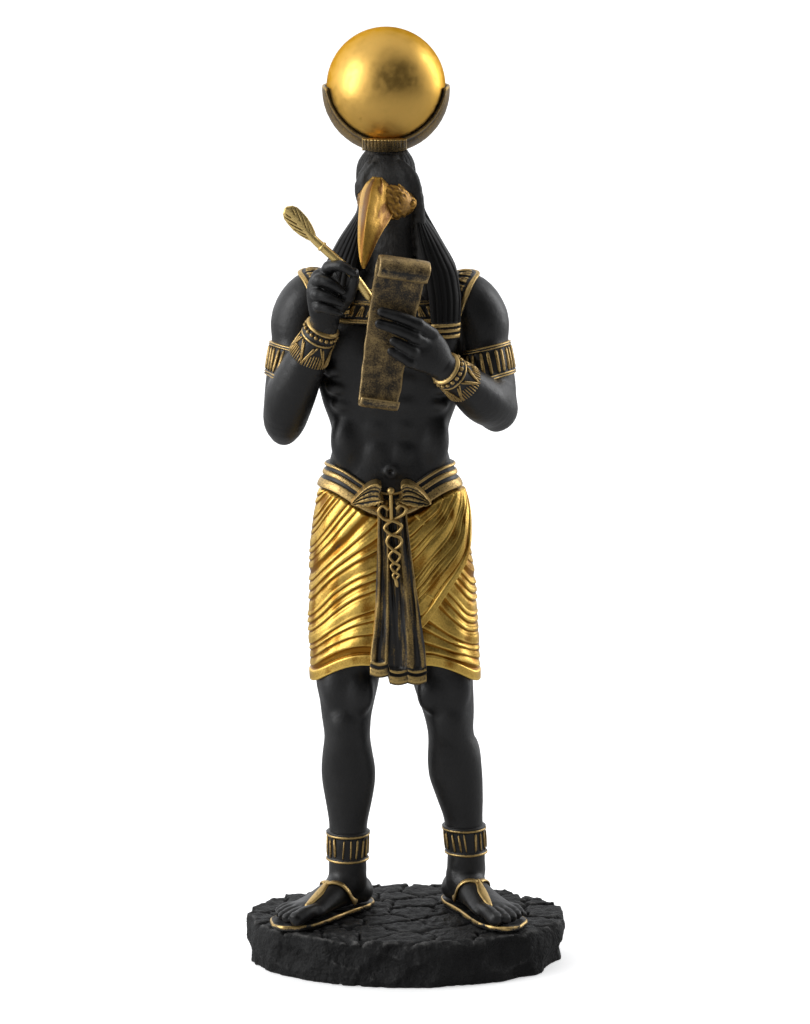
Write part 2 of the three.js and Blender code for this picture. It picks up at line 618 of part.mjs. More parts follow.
function diskBall(extra) {
  return new THREE.SphereGeometry(disk.radius + extra, disk.segments, disk.segments / 2)
    .rotateX(Math.PI / 2).translate(crownX, body.y, diskMiddle);
}

function crescentBowl() {
  const bowl = new THREE.SphereGeometry(bowlRadius, crescent.segments, crescent.segments / 2).rotateX(Math.PI / 2);
  bowl.scale(1, bowlDepth / bowlRadius, 1).translate(crownX, body.y, bowlMiddle);
  const mouthRadius = disk.radius + crescent.rimGap;
  const mouth = new THREE.CylinderGeometry(mouthRadius, mouthRadius, bowlRadius * 3, disk.segments);
  mouth.translate(crownX, body.y, diskMiddle + crescent.mouthRise);
  const above = new THREE.BoxGeometry(bowlRadius * 3, bowlRadius * 3, bowlRadius * 2);
  above.translate(crownX, body.y, diskMiddle + crescent.tipRise + bowlRadius);
  return [mouth, above, diskBall(clearance)].reduce((rest, cut) => rest.subtract(solidOf(cut)), solidOf(bowl));
}

// The post that carries the crescent runs from inside the crown up through the bowl's wall.
function stem() {
  const sink = 2.4 * grid;
  const reach = sink + crescent.lift + crescent.wall + crescent.drop;
  const post = new THREE.CylinderGeometry(stemRadius, stemRadius * 1.25, reach, 12);
  return post.rotateX(Math.PI / 2).translate(crownX, body.y, crownTop - sink + reach / 2);
}

// The tied wrap: a small band that lies on the front of the bowl.
function wrap() {
  const [below, aside] = [0.6, -1.1];
  const face = (lift) => (u, v) => {
    const x = aside + wrapBand.halfWidth * (2 * u - 1);
    const z = below + wrapBand.height * v - bowlRadius;
    const flat = Math.sqrt(Math.max(1 - (x ** 2 + z ** 2) / bowlRadius ** 2, 0));
    return new THREE.Vector3(crownX + x, body.y - bowlDepth * flat - lift, bowlMiddle + z);
  };
  return panel(4, 2, face(wrapBand.thickness), face(-wrapBand.thickness));
}

// The scroll's run from its upper lip over the top roll, down the sheet and round the bottom roll.
function scrollPath() {
  const points = [];
  const [top, bottom] = [scroll.topRoll - scroll.thickness / 2, scroll.bottomRoll - scroll.thickness / 2];
  const [lip, curl] = [-50, 200];
  for (let i = 0; i <= 8; i += 1) {
    const angle = THREE.MathUtils.degToRad(lip + ((180 - lip) * i) / 8);
    points.push([scroll.length + top * Math.sin(angle), top + top * Math.cos(angle)]);
  }
  for (let i = 1; i < 8; i += 1) {
    const share = i / 8;
    points.push([scroll.length * (1 - share), -scroll.bow * (1 - (2 * share - 1) ** 2)]);
  }
  for (let i = 0; i <= 6; i += 1) {
    const angle = THREE.MathUtils.degToRad(180 + (curl * i) / 6);
    points.push([bottom * Math.sin(angle), bottom + bottom * Math.cos(angle)]);
  }
  return points;
}

// Where the scroll stands on the figure's grid: its bottom roll's middle, and its lean and turn in degrees.
const scrollPlace = { foot: [-9.2, -28.2, 178.3], lean: 9.7, turn: 9, tip: 1.5 };

function scrollSheet(extra) {
  const path = scrollPath();
  const rings = path.map(([up, out], i) => {
    const before = path[Math.max(i - 1, 0)];
    const after = path[Math.min(i + 1, path.length - 1)];
    const along = new THREE.Vector2(after[0] - before[0], after[1] - before[1]).normalize();
    const ends = (i === 0 ? -extra : 0) + (i === path.length - 1 ? extra : 0);
    const half = scroll.thickness / 2 + extra;
    const share = THREE.MathUtils.clamp(up / scroll.length, 0, 1);
    const wide = (scroll.bottomWidth + (scroll.topWidth - scroll.bottomWidth) * share) / 2 + extra;
    const corner = (side, face) => new THREE.Vector3(
      side * wide,
      -(out + along.y * ends + face * along.x * half),
      up + along.x * ends - face * along.y * half,
    );
    return [corner(-1, -1), corner(1, -1), corner(1, 1), corner(-1, 1)];
  });
  const sheet = loft(rings);
  const [footX, footY, footZ] = scrollPlace.foot;
  const stand = at(footX, footY, footZ);
  sheet.rotateX(THREE.MathUtils.degToRad(scrollPlace.tip));
  sheet.rotateY(THREE.MathUtils.degToRad(scrollPlace.lean));
  sheet.rotateZ(THREE.MathUtils.degToRad(scrollPlace.turn));
  return sheet.translate(stand.x, stand.y, stand.z);
}

// The quill's shaft from the nib, through the fingers, to the foot of its blade, and on to the blade's tip.
const quillLine = {
  nib: [-11.4, -24.8, 210], grip: [-17.4, -26.2, 218.4], neck: [-29.6, -27, 229.8], tip: [-38.4, -27.4, 240.8],
};

function quillShaft(extra) {
  const between = (a, b, share) => a.map((value, k) => value + (b[k] - value) * share);
  const { nib, grip, neck, tip } = quillLine;
  const [shaft, point] = [quill.shaftRadius + extra, quill.nibRadius / 2 + extra].map((radius) => radius / grid);
  return limb([
    [...nib, point], [...between(nib, grip, 0.28), shaft], [...grip, shaft], [...neck, shaft],
    [...between(neck, tip, 0.5), shaft * 0.8],
  ], 8);
}

function quillBlade() {
  const { neck, tip } = quillLine;
  const widths = [[0, 0.2], [0.16, 0.66], [0.34, 1], [0.55, 0.94], [0.75, 0.98], [0.9, 0.72], [1, 0.2]];
  return limb(widths.map(([share, wide]) => [
    ...neck.map((value, k) => value + (tip[k] - value) * share),
    (quill.bladeWidth / grid / 2) * wide, (quill.bladeThickness / grid / 2) * (1 - 0.5 * share),
  ]), 8);
}

// Rock of the base: an oval whose side is broken into facets by a fixed scatter.
function scatter(a, b) {
  const value = Math.sin(a * 12.9898 + b * 78.233) * 43758.5453;
  return value - Math.floor(value) - 0.5;
}

// Levels of the rock: share of the height, reach beyond the oval, share of the roughness.
const rockLevels = [[0, 0.3, 0.2], [0.18, 0.9, 1], [0.42, 0, 1], [0.7, 0.5, 1], [0.93, -0.6, 0.7], [1, -2.4, 0.5]];

function rock() {
  const squareness = 0.94;
  return loft(rockLevels.map(([share, reach, rough], row) => {
    const ring = [];
    for (let side = 0; side < base.sides; side += 1) {
      const angle = (side / base.sides) * 2 * Math.PI;
      const extra = reach - base.roughness + base.roughness * rough * 1.6 * scatter(side, row);
      const [x, y] = outline(
        0, 0, base.width / 2 + extra, base.depth / 2 + extra, base.depth / 2 + extra, angle, squareness,
      );
      ring.push(new THREE.Vector3(x, y, base.height * share));
    }
    return ring;
  }));
}

function paint(color, roughness, metalness) {
  return new THREE.MeshStandardMaterial({ color, roughness, metalness });
}

const blackResin = paint(0x1c1b1b, 0.72, 0);
const rockResin = paint(0x151516, 0.8, 0);
const brightGold = paint(0xd09a2c, 0.3, 0.9);
const antiqueGold = paint(0x7d6232, 0.5, 0.7);
const paleGold = paint(0xc8a24a, 0.4, 0.8);

function figureSolid() {
  const pieces = [
    trunk(), legWithAnklet('right'), legWithAnklet('left'),
    ...footAndSandal(feet.right), ...footAndSandal(feet.left), ...arm('right'), ...arm('left'),
    ...hand(quillHand, [0.6, -1, 0]), ...hand(scrollHand, [0.5, -1, 0.4]), wig(), lappet(-1), lappet(1),
    ...headAndBill(), kilt(), flap(), beltBand(), sash(), ...staff(), collarBand(), stem(), wrap(),
  ];
  return filled(fuse(pieces).add(crescentBowl())
    .subtract(solidOf(scrollSheet(clearance)))
    .subtract(solidOf(quillShaft(clearance)))
    .subtract(solidOf(diskBall(clearance))));
}

const group = new THREE.Group();

function addPiece(name, solid, material) {
  const mesh = new THREE.Mesh(geometryOf(solid), material);
  mesh.name = name;
  group.add(mesh);
}

addPiece('base', solidOf(rock()), rockResin);
addPiece('figure', figureSolid(), blackResin);
addPiece('sun_disk', solidOf(diskBall(0)), brightGold);
addPiece('scroll', solidOf(scrollSheet(0)), antiqueGold);
addPiece('quill', fuse([quillShaft(0), quillBlade()]), paleGold);

export default group;
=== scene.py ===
import math
import bpy
import numpy as np
import openvdb
from mathutils import Matrix, Vector


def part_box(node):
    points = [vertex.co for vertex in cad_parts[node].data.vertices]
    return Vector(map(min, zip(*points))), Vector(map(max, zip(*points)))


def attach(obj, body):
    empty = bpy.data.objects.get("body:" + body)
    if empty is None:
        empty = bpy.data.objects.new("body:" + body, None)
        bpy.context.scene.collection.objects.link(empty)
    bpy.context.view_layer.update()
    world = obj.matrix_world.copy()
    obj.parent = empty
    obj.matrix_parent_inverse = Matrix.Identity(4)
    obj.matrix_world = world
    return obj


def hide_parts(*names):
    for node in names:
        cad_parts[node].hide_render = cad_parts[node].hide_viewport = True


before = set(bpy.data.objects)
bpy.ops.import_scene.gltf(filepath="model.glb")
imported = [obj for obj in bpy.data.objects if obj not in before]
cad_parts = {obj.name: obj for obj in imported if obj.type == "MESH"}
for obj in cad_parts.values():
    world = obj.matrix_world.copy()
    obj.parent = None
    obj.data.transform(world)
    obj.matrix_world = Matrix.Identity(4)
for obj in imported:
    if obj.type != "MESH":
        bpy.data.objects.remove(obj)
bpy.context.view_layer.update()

# Places are in millimetres on the figure, with z counted up from the soles of the sandals.
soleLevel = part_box("figure")[0].z * 1000
bodyX, bodyY = -5.6, 2.0
triangleCounts = {}


def smoothStep(value):
    t = np.clip(value, 0, 1)
    return t * t * (3 - 2 * t)


# Evenly spaced angles, once round.
def fullTurn(count):
    return np.linspace(0, 2 * math.pi, count, endpoint=False)


# Places from their x, y and z, each stretched to the shape of the others.
def joined(*values):
    return np.stack(np.broadcast_arrays(*values), -1)


def least(*values):
    return np.minimum.reduce(np.broadcast_arrays(*values))


# Shares from 0 to 1, across in columns and along in rows.
def shareGrid(columns, rows):
    return np.linspace(0, 1, columns)[None, :], np.linspace(0, 1, rows)[:, None]


# How far a difference in x, y and z runs along a way.
def dotted(way, d):
    return way[0] * d[0] + way[1] * d[1] + way[2] * d[2]


def hump(value, middle, spread):
    return np.exp(-(((value - middle) / spread) ** 2))


def mixTo(start, end, share):
    return start + (end - start) * share


def unit(ways):
    ways = np.asarray(ways, float)
    return ways / np.maximum(np.linalg.norm(ways, axis=-1, keepdims=True), 1e-9)


def power(value, exponent):
    return np.sign(value) * np.abs(value) ** exponent


# Reads a table at many places, rounded off between its rows. The first column is where each row stands.
def softRows(rows, where, soften=1.2):
    table = np.array(sorted(rows), float)
    fine = np.arange(table[0, 0] - 4 * soften, table[-1, 0] + 4 * soften, soften / 4)
    kernel = np.exp(-0.5 * (np.arange(-12, 13) / 4) ** 2)
    kernel /= kernel.sum()
    columns = []
    for k in range(1, table.shape[1]):
        line = np.interp(fine, table[:, 0], table[:, k])
        line = np.convolve(np.pad(line, 12, mode="edge"), kernel, "valid")
        columns.append(np.interp(where, fine, line))
    return columns


# A smooth run through given points. Every column is carried along, the thickness too.
def through(points, perSpan=6):
    p = np.asarray(points, float)
    ends = np.vstack([2 * p[0] - p[1], p, 2 * p[-1] - p[-2]])
    t = np.linspace(0, 1, perSpan, endpoint=False)[:, None]
    spans = []
    for a, b, c, d in zip(ends[:-3], ends[1:-2], ends[2:-1], ends[3:]):
        spans.append(0.5 * (2 * b + (c - a) * t + (2 * a - 5 * b + 4 * c - d) * t ** 2
                            + (3 * b - a - 3 * c + d) * t ** 3))
    return np.vstack(spans + [p[-1:]])


# Soft unevenness of a given size in mm: a few waves in set directions, about -1 to 1.
def wobble(places, size, seed, waves=7):
    chance = np.random.default_rng(seed)
    total = 0
    for turn in range(waves):
        way = unit(chance.normal(size=3)) * 2 * math.pi / size * chance.uniform(0.6, 1.5)
        total = total + np.sin(places @ way + chance.uniform(0, 2 * math.pi))
    return total / math.sqrt(waves)


def outline(x, y, wide, front, back, angle, squareness=1.0):
    c = power(np.cos(angle), squareness)
    s = power(np.sin(angle), squareness)
    return x + wide * c, y + np.where(s < 0, front, back) * s


# A block of clay on a grid: field is the distance in mm to the surface, below 0 inside it.
class Clay:
    def __init__(self, low, high, step):
        self.low = np.asarray(low, float)
        self.step = step
        self.count = np.ceil((np.asarray(high, float) - self.low) / step).astype(int) + 1
        self.field = np.full(self.count, 9.0, np.float32)

    def window(self, low, high):
        first = np.clip(np.floor((np.asarray(low) - self.low) / self.step).astype(int), 0, self.count)
        last = np.clip(np.ceil((np.asarray(high) - self.low) / self.step).astype(int) + 1, 0, self.count)
        parts = tuple(slice(a, b) for a, b in zip(first, last))
        lines = [self.low[k] + self.step * np.arange(first[k], last[k]) for k in range(3)]
        x, y, z = [line.astype(np.float32) for line in lines]
        return parts, x[:, None, None], y[None, :, None], z[None, None, :]

    def whole(self):
        return self.window([-999] * 3, [999] * 3)

    # Cuts off what lies below one height and, where given, above another.
    def trim(self, blend, low, high=None):
        parts, x, y, z = self.whole()
        self.carve(parts, z - low, blend)
        if high:
            self.carve(parts, high - z, blend)

    def roughen(self, parts, amount):
        self.field[parts] = self.field[parts] + amount.astype(np.float32)

    def join(self, parts, distance, blend):
        old = self.field[parts]
        share = np.clip(0.5 + 0.5 * (old - distance) / blend, 0, 1)
        self.field[parts] = old + (distance - old) * share - blend * share * (1 - share)

    def carve(self, parts, distance, blend):
        old = self.field[parts]
        share = np.clip(0.5 + 0.5 * (-distance - old) / blend, 0, 1)
        self.field[parts] = old + (-distance - old) * share + blend * share * (1 - share)

    def ball(self, centre, radii, blend=1.5, turn=None, cut=False):
        radii = np.broadcast_to(np.asarray(radii, float), 3)
        reach = radii.max() + 2 * blend + 1
        parts, x, y, z = self.window(np.asarray(centre) - reach, np.asarray(centre) + reach)
        d = (x - centre[0], y - centre[1], z - centre[2])
        if turn is not None:
            d = [dotted(way, d) for way in turn]
        k0 = np.sqrt(sum((d[k] / radii[k]) ** 2 for k in range(3)))
        k1 = np.sqrt(sum((d[k] / radii[k] ** 2) ** 2 for k in range(3)))
        distance = (k0 - 1) * np.maximum(k0 / np.maximum(k1, 1e-6), 0.5 * radii.min())
        (self.carve if cut else self.join)(parts, distance, blend)

    # A run of stations: x, y, z, radius across and radius in depth. facing sets which way depth looks.
    def limb(self, stations, blend=1.0, facing=(0, -1, 0), perSpan=4, cut=False):
        fine = through([list(s) if len(s) == 5 else list(s) + [s[3]] for s in stations], perSpan)
        fine[:, 3:] = np.maximum(fine[:, 3:], 0.25)
        reach = fine[:, 3:].max() + 2 * blend + 1
        outer = self.window(fine[:, :3].min(0) - reach, fine[:, :3].max(0) + reach)[0]
        best = np.full([part.stop - part.start for part in outer], 9.0, np.float32)
        for start, end in zip(fine[:-1], fine[1:]):
            span = max(start[3:].max(), end[3:].max()) + 2 * blend + 1
            low, high = np.minimum(start[:3], end[:3]) - span, np.maximum(start[:3], end[:3]) + span
            parts, x, y, z = self.window(low, high)
            along = end[:3] - start[:3]
            length = max(np.linalg.norm(along), 1e-6)
            way = along / length
            across = unit(np.cross(way, facing))
            deep = np.cross(across, way)
            d = (x - start[0], y - start[1], z - start[2])
            share = np.clip(dotted(way, d) / length, 0, 1)
            d = [d[k] - along[k] * share for k in range(3)]
            wide, thick = [mixTo(start[k], end[k], share) for k in (3, 4)]
            least = np.minimum(wide, thick)
            a, b, c = [dotted(w, d) for w in (across, deep, way)]
            distance = (np.sqrt((a / wide) ** 2 + (b / thick) ** 2 + (c / least) ** 2) - 1) * least
            inner = tuple(slice(p.start - o.start, p.stop - o.start) for p, o in zip(parts, outer))
            best[inner] = np.minimum(best[inner], distance)
        (self.carve if cut else self.join)(outer, best, blend)

    # Level outlines: height, x, y, half width, depth in front, depth behind.
    def levels(self, rows, blend=1.0, soften=1.2):
        low, high = min(row[0] for row in rows), max(row[0] for row in rows)
        parts, x, y, z = self.window([-200, -200, low - 1], [200, 200, high + 1])
        x0, y0, wide, front, back = softRows(rows, z.ravel(), soften)
        dx, dy = x - x0, y - y0
        deep = np.where(dy < 0, front, back)
        k0 = np.sqrt((dx / wide) ** 2 + (dy / deep) ** 2)
        k1 = np.sqrt((dx / wide ** 2) ** 2 + (dy / deep ** 2) ** 2)
        distance = (k0 - 1) * np.maximum(k0 / np.maximum(k1, 1e-6), 0.5 * np.minimum(wide, deep))
        self.join(parts, np.maximum(distance, np.maximum(low - z, z - high)), blend)

    # How far places are from the surface, read between the grid's points.
    def at(self, places):
        spot = (np.asarray(places, float) - self.low) / self.step
        spot = np.clip(spot, 0, np.array(self.count) - 1.001)
        first = spot.astype(int)
        rest = spot - first
        total = 0
        for corner in np.ndindex(2, 2, 2):
            share = np.prod(np.where(corner, rest, 1 - rest), axis=-1)
            i, j, k = np.moveaxis(first + np.array(corner), -1, 0)
            total = total + share * self.field[i, j, k]
        return total

    def surface(self):
        for axis in range(3):
            for end in (0, -1):
                side = [slice(None)] * 3
                side[axis] = end
                self.field[tuple(side)] = np.maximum(self.field[tuple(side)], 0.5)
        grid = openvdb.FloatGrid(3.0)
        grid.copyFromArray(np.clip(self.field, -3, 3).astype(np.float32))
        points, triangles, quads = grid.convertToPolygons(isovalue=0.0, adaptivity=0.0)
        return points * self.step + self.low, [quads.astype(int), triangles.astype(int)]


# Distance out from each start, along its way, to the place where it leaves the clay.
def exitReach(clay, starts, ways, far, near=0.0, stride=0.2):
    reach = np.arange(near, far, stride)
    inside = clay.at(starts[..., None, :] + ways[..., None, :] * reach[:, None]) < 0
    out = np.argmin(inside, axis=-1)
    return np.where(inside.all(axis=-1), far, reach[out])


# Moves places out of the clay until they lie a gap above it.
def settle(places, clay, gap, rounds=3):
    for turn in range(rounds):
        slope = joined(*[clay.at(places + step) - clay.at(places - step) for step in np.eye(3) * 0.5])
        places = places + unit(slope) * np.maximum(gap - clay.at(places), 0)[..., None]
    return places


# A closed surface through rings of points. closeRows joins the last ring to the first one.
def skin(rings, closeRows=False):
    rings = np.asarray(rings, float)
    rows, columns = rings.shape[:2]
    index = np.arange(rows * columns).reshape(rows, columns)
    below = index if closeRows else index[:-1]
    above = np.roll(index, -1, 0) if closeRows else index[1:]
    faces = [joined(below, np.roll(below, -1, 1), np.roll(above, -1, 1), above).reshape(-1, 4)]
    points = rings.reshape(-1, 3)
    if not closeRows:
        points = np.vstack([points, rings[0].mean(0), rings[-1].mean(0)])
        for middle, ring in ((rows * columns, index[0][::-1]), (rows * columns + 1, index[-1])):
            faces.append(joined(np.full(columns, middle), ring, np.roll(ring, -1)))
    return points, faces


# A closed plate: a grid of points in front, and behind it only the rim and a middle point of the inner grid.
def plate(outer, inner):
    rows, columns = outer.shape[:2]
    front = np.arange(rows * columns).reshape(rows, columns)
    loop = np.concatenate([front[0, :-1], front[:-1, -1], front[-1, :0:-1], front[:0:-1, 0]])
    rim = inner.reshape(-1, 3)[loop]
    back = rows * columns + np.arange(len(loop))
    grid = joined(front[:-1, :-1], front[:-1, 1:], front[1:, 1:], front[1:, :-1]).reshape(-1, 4)
    wall = joined(loop, back, np.roll(back, -1), np.roll(loop, -1))
    fan = joined(np.full(len(loop), back[-1] + 1), np.roll(back, -1), back)
    return np.vstack([outer.reshape(-1, 3), rim, rim.mean(0)]), [np.vstack([grid, wall]), fan]


# A round or flattened cord through stations of x, y, z and radius.
def tube(stations, sides=10, perSpan=6, flat=1.0, facing=(0, -1, 0)):
    fine = through(stations, perSpan)
    centres, radius = fine[:, :3], np.maximum(fine[:, 3], 0.05)
    along = unit(np.gradient(centres, axis=0))
    across = unit(np.cross(along, facing))
    deep = np.cross(across, along)
    angle = fullTurn(sides)
    turned = across[:, None] * np.cos(angle)[:, None] + deep[:, None] * np.sin(angle)[:, None] * flat
    return skin(centres[:, None] + turned * radius[:, None, None])


def signedVolume(points, faces):
    total = 0
    for f in faces:
        for k in range(1, f.shape[1] - 1):
            a, b, c = points[f[:, 0]], points[f[:, k]], points[f[:, k + 1]]
            total += np.einsum("ij,ij->", a, np.cross(b, c))
    return total


# How far each point stands out of its surroundings, in mm: edges are above 0 and hollows below it.
def raisedBy(points, faces, rounds):
    start = np.concatenate([f.ravel() for f in faces])
    end = np.concatenate([np.roll(f, -1, axis=1).ravel() for f in faces])
    a, b = np.concatenate([start, end]), np.concatenate([end, start])
    weight = np.maximum(np.bincount(a, minlength=len(points)), 1)
    soft = points.copy()
    for turn in range(rounds):
        for k in range(3):
            soft[:, k] = 0.4 * soft[:, k] + 0.6 * np.bincount(a, soft[b, k], len(points)) / weight
    normal = np.zeros_like(points)
    for f in faces:
        way = np.cross(points[f[:, 1]] - points[f[:, 0]], points[f[:, -1]] - points[f[:, 0]])
        for k in range(f.shape[1]):
            np.add.at(normal, f[:, k], way)
    return np.einsum("ij,ij->i", points - soft, unit(normal))


# Makes a piece of the figure from closed parts: points, faces and, where wanted, paint for each point.
def addPiece(name, parts, material, nodes=("figure",), rounds=10):
    pointList, faceList, paintList, raisedList, offset = [], {3: [], 4: []}, [], [], 0
    for points, faces, *paint in parts:
        points = np.array(points, float)
        faces = [np.asarray(f) for f in faces if len(f)]
        if signedVolume(points, faces) < 0:
            faces = [f[:, ::-1] for f in faces]
        for f in faces:
            faceList[f.shape[1]].append(f + offset)
        pointList.append(points)
        given = paint[0].ravel() if paint else np.ones(1)
        missing = np.full(max(len(points) - len(given), 0), given[-1])
        paintList.append(np.append(given, missing)[:len(points)])
        raisedList.append(raisedBy(points, faces, rounds))
        offset += len(points)
    points = np.vstack(pointList) + (0, 0, soleLevel)
    groups = [np.vstack(group) for group in faceList.values() if group]
    sizes = np.concatenate([np.full(len(group), group.shape[1]) for group in groups])
    mesh = bpy.data.meshes.new(name)
    mesh.vertices.add(len(points))
    mesh.vertices.foreach_set("co", (points / 1000).astype(np.float32).ravel())
    mesh.loops.add(int(sizes.sum()))
    mesh.loops.foreach_set("vertex_index", np.concatenate([g.ravel() for g in groups]).astype(np.int32))
    mesh.polygons.add(len(sizes))
    mesh.polygons.foreach_set("loop_start", (np.cumsum(sizes) - sizes).astype(np.int32))
    mesh.update(calc_edges=True)
    for label, values in (("paint", paintList), ("raised", raisedList)):
        layer = mesh.attributes.new(label, "FLOAT", "POINT")
        layer.data.foreach_set("value", np.concatenate(values).astype(np.float32))
    mesh.validate()
    mesh.shade_smooth()
    mesh.materials.append(material)
    triangleCounts[name] = int((sizes - 2).sum())
    return settlePiece(addObject(name, mesh), nodes)


def addObject(name, data):
    holder = bpy.data.objects.new(name, data)
    bpy.context.scene.collection.objects.link(holder)
    return holder


def settlePiece(piece, nodes=("figure",)):
    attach(piece, "root")
    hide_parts(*nodes)
    return piece


def addNode(tree, kind, inputs=None, **settings):
    node = tree.nodes.new(kind)
    for key, value in settings.items():
        setattr(node, key, value)
    for key, value in (inputs or {}).items():
        if isinstance(value, bpy.types.NodeSocket):
            tree.links.new(value, node.inputs[key])
        else:
            node.inputs[key].default_value = value
    return node


# Paint and grain: grains of a size in mm on the piece's own coordinates, about 0.5 on average.
def grain(tree, size, detail=3.0, roughness=0.55, stretch=None):
    place = addNode(tree, "ShaderNodeTexCoord").outputs["Object"]
    if stretch:
        place = addNode(tree, "ShaderNodeMapping", {"Vector": place, "Scale": stretch}).outputs[0]
    settings = {"Vector": place, "Scale": 1000 / size, "Detail": detail, "Roughness": roughness}
    return addNode(tree, "ShaderNodeTexNoise", settings).outputs["Fac"]


def spread(tree, value, low, high, toLow=0.0, toHigh=1.0):
    settings = {"Value": value, "From Min": low, "From Max": high, "To Min": toLow, "To Max": toHigh}
    return addNode(tree, "ShaderNodeMapRange", settings, interpolation_type="SMOOTHSTEP").outputs[0]


def mixColour(tree, share, a, b):
    return addNode(tree, "ShaderNodeMix", {0: share, 6: a, 7: b}, data_type="RGBA").outputs[2]


def mixValue(tree, share, a, b):
    return addNode(tree, "ShaderNodeMix", {0: share, 2: a, 3: b}).outputs[0]


def maths(tree, kind, a, b=0.0):
    return addNode(tree, "ShaderNodeMath", {0: a, 1: b}, operation=kind).outputs[0]


# A resin casting, black below, with gold rubbed over it. cover is how readily the gold takes. Within the
# gold, hollows and places with lowered paint turn toward the shade colour: painted shade.
def paintedResin(name, look):
    material = bpy.data.materials.new(name)
    material.use_nodes = True
    tree = material.node_tree
    shader = tree.nodes["Principled BSDF"]

    def add(a, b):
        return maths(tree, "ADD", a, b)

    def times(a, b):
        return maths(tree, "MULTIPLY", a, b)

    def less(a, b):
        return maths(tree, "SUBTRACT", a, b)

    def spots(grains, amount):
        return times(less(grains, 0.5), amount)

    def roughFrom(grains, low, high, key, down, up):
        return mixValue(tree, spread(tree, grains, low, high), look[key] - down, look[key] + up)

    raised = addNode(tree, "ShaderNodeAttribute", attribute_name="raised").outputs["Fac"]
    fine = grain(tree, look.get("fine", 0.5), 4)
    broad = grain(tree, look.get("broad", 9.0), 2)
    edge = add(raised, spots(fine, 0.25))
    worn = spread(tree, edge, look.get("wearFrom", 0.12), look.get("wearTo", 0.5))
    colour = mixColour(tree, spread(tree, broad, 0.3, 0.7), look["black"], look["blackLight"])
    colour = mixColour(tree, worn, colour, look["wornBlack"])
    rough = roughFrom(broad, 0.3, 0.7, "blackRough", 0.05, 0.06)
    if "gold" in look:
        if look.get("painted", True):
            paint = addNode(tree, "ShaderNodeAttribute", attribute_name="paint").outputs["Fac"]
        else:
            paint = addNode(tree, "ShaderNodeValue").outputs[0]
            paint.default_value = 1.0
        patch = add(spots(broad, look["patchy"]), spots(fine, look["specks"]))
        rubbed = times(times(raised, look["rub"]), paint)
        take = add(add(rubbed, patch), less(look["cover"], less(1.0, paint)))
        soft = look.get("soften", 0.22)
        mask = spread(tree, take, -soft, soft)
        # Painted shade: the gold darkens to its shade colour in hollows and, by deepen, where paint is
        # lowered.
        shadedTone = add(add(edge, times(patch, 0.3)), times(less(paint, 1.0), look.get("deepen", 0.0)))
        shadedTone = spread(tree, shadedTone, look["toneLow"], look["toneHigh"])
        colour = mixColour(tree, mask, colour, mixColour(tree, shadedTone, look["shade"], look["gold"]))
        rough = mixValue(tree, mask, rough, roughFrom(fine, 0.35, 0.7, "goldRough", 0.04, 0.1))
        tree.links.new(times(mask, look["metal"]), shader.inputs["Metallic"])
    pores = grain(tree, look.get("pores", 0.35), 3, 0.55, look.get("stretch"))
    height = add(times(pores, 0.5), grain(tree, look.get("lumps", 2.2), 3))
    bumps = {"Height": height, "Distance": look.get("bump", 0.12) / 1000, "Strength": 1.0}
    bump = addNode(tree, "ShaderNodeBump", bumps)
    for key, value in (("Base Color", colour), ("Roughness", rough), ("Normal", bump.outputs[0])):
        tree.links.new(value, shader.inputs[key])
    shader.inputs["Specular IOR Level"].default_value = look.get("specular", 0.45)
    shader.inputs["Specular Tint"].default_value = look.get("rim", tint(1, 1, 1))
    return material


def tint(red, green, blue):
    return (red, green, blue, 1.0)


blackLook = {
    "black": tint(0.0052, 0.0051, 0.0052), "blackLight": tint(0.0095, 0.0093, 0.0094),
    "wornBlack": tint(0.032, 0.031, 0.03), "blackRough": 0.4,
}
# Hair and head are lighter blacks than the body: partly their matte finish, partly painted light that
# brightens surfaces facing the dark front.
hairLook = {
    **blackLook, "black": tint(0.015, 0.0145, 0.014), "blackLight": tint(0.024, 0.023, 0.022),
    "wornBlack": tint(0.055, 0.053, 0.051), "blackRough": 0.52, "specular": 0.25,
    "bump": 0.5, "pores": 0.9, "stretch": (1, 1, 0.25),
}
browLook = {**hairLook, "black": tint(0.032, 0.031, 0.03), "blackLight": tint(0.046, 0.045, 0.043)}
rockLook = {
    **blackLook, "black": tint(0.014, 0.014, 0.014), "blackLight": tint(0.023, 0.023, 0.023),
    "wornBlack": tint(0.125, 0.122, 0.118), "blackRough": 0.58, "specular": 0.16, "bump": 0.9,
    "pores": 0.7, "lumps": 1.6, "wearFrom": 0.1, "wearTo": 0.6, "broad": 6.0,
}
brightLook = {
    **blackLook, "gold": tint(0.88, 0.59, 0.14), "shade": tint(0.3, 0.13, 0.014), "goldRough": 0.32,
    "metal": 0.95, "cover": 0.9, "rub": 0.5, "patchy": 0.5, "specks": 0.2, "toneLow": -0.24, "toneHigh": 0.14,
    "deepen": 0.7, "bump": 0.12,
}
diskLook = {
    **brightLook, "gold": tint(0.8, 0.49, 0.125), "shade": tint(0.56, 0.32, 0.07), "goldRough": 0.37,
    "rim": tint(0.5, 0.33, 0.11), "metal": 1.0, "patchy": 0.1, "specks": 0.0, "bump": 0.007, "fine": 2.5,
}
beakLook = {
    **brightLook, "gold": tint(0.79, 0.46, 0.085), "shade": tint(0.2, 0.085, 0.011), "goldRough": 0.36,
    "patchy": 0.2, "specks": 0.1, "metal": 0.72,
}
cheekLook = {
    **beakLook, "gold": tint(0.52, 0.275, 0.05), "shade": tint(0.12, 0.048, 0.008), "cover": 0.2, "rub": 1.6,
    "patchy": 0.7, "specks": 0.5, "soften": 0.45,
}
trimLook = {
    **brightLook, "gold": tint(0.62, 0.43, 0.17), "shade": tint(0.15, 0.085, 0.03), "goldRough": 0.36,
    "cover": 0.22, "rub": 1.15, "patchy": 1.05, "specks": 1.2, "soften": 0.3, "deepen": 0.0,
}
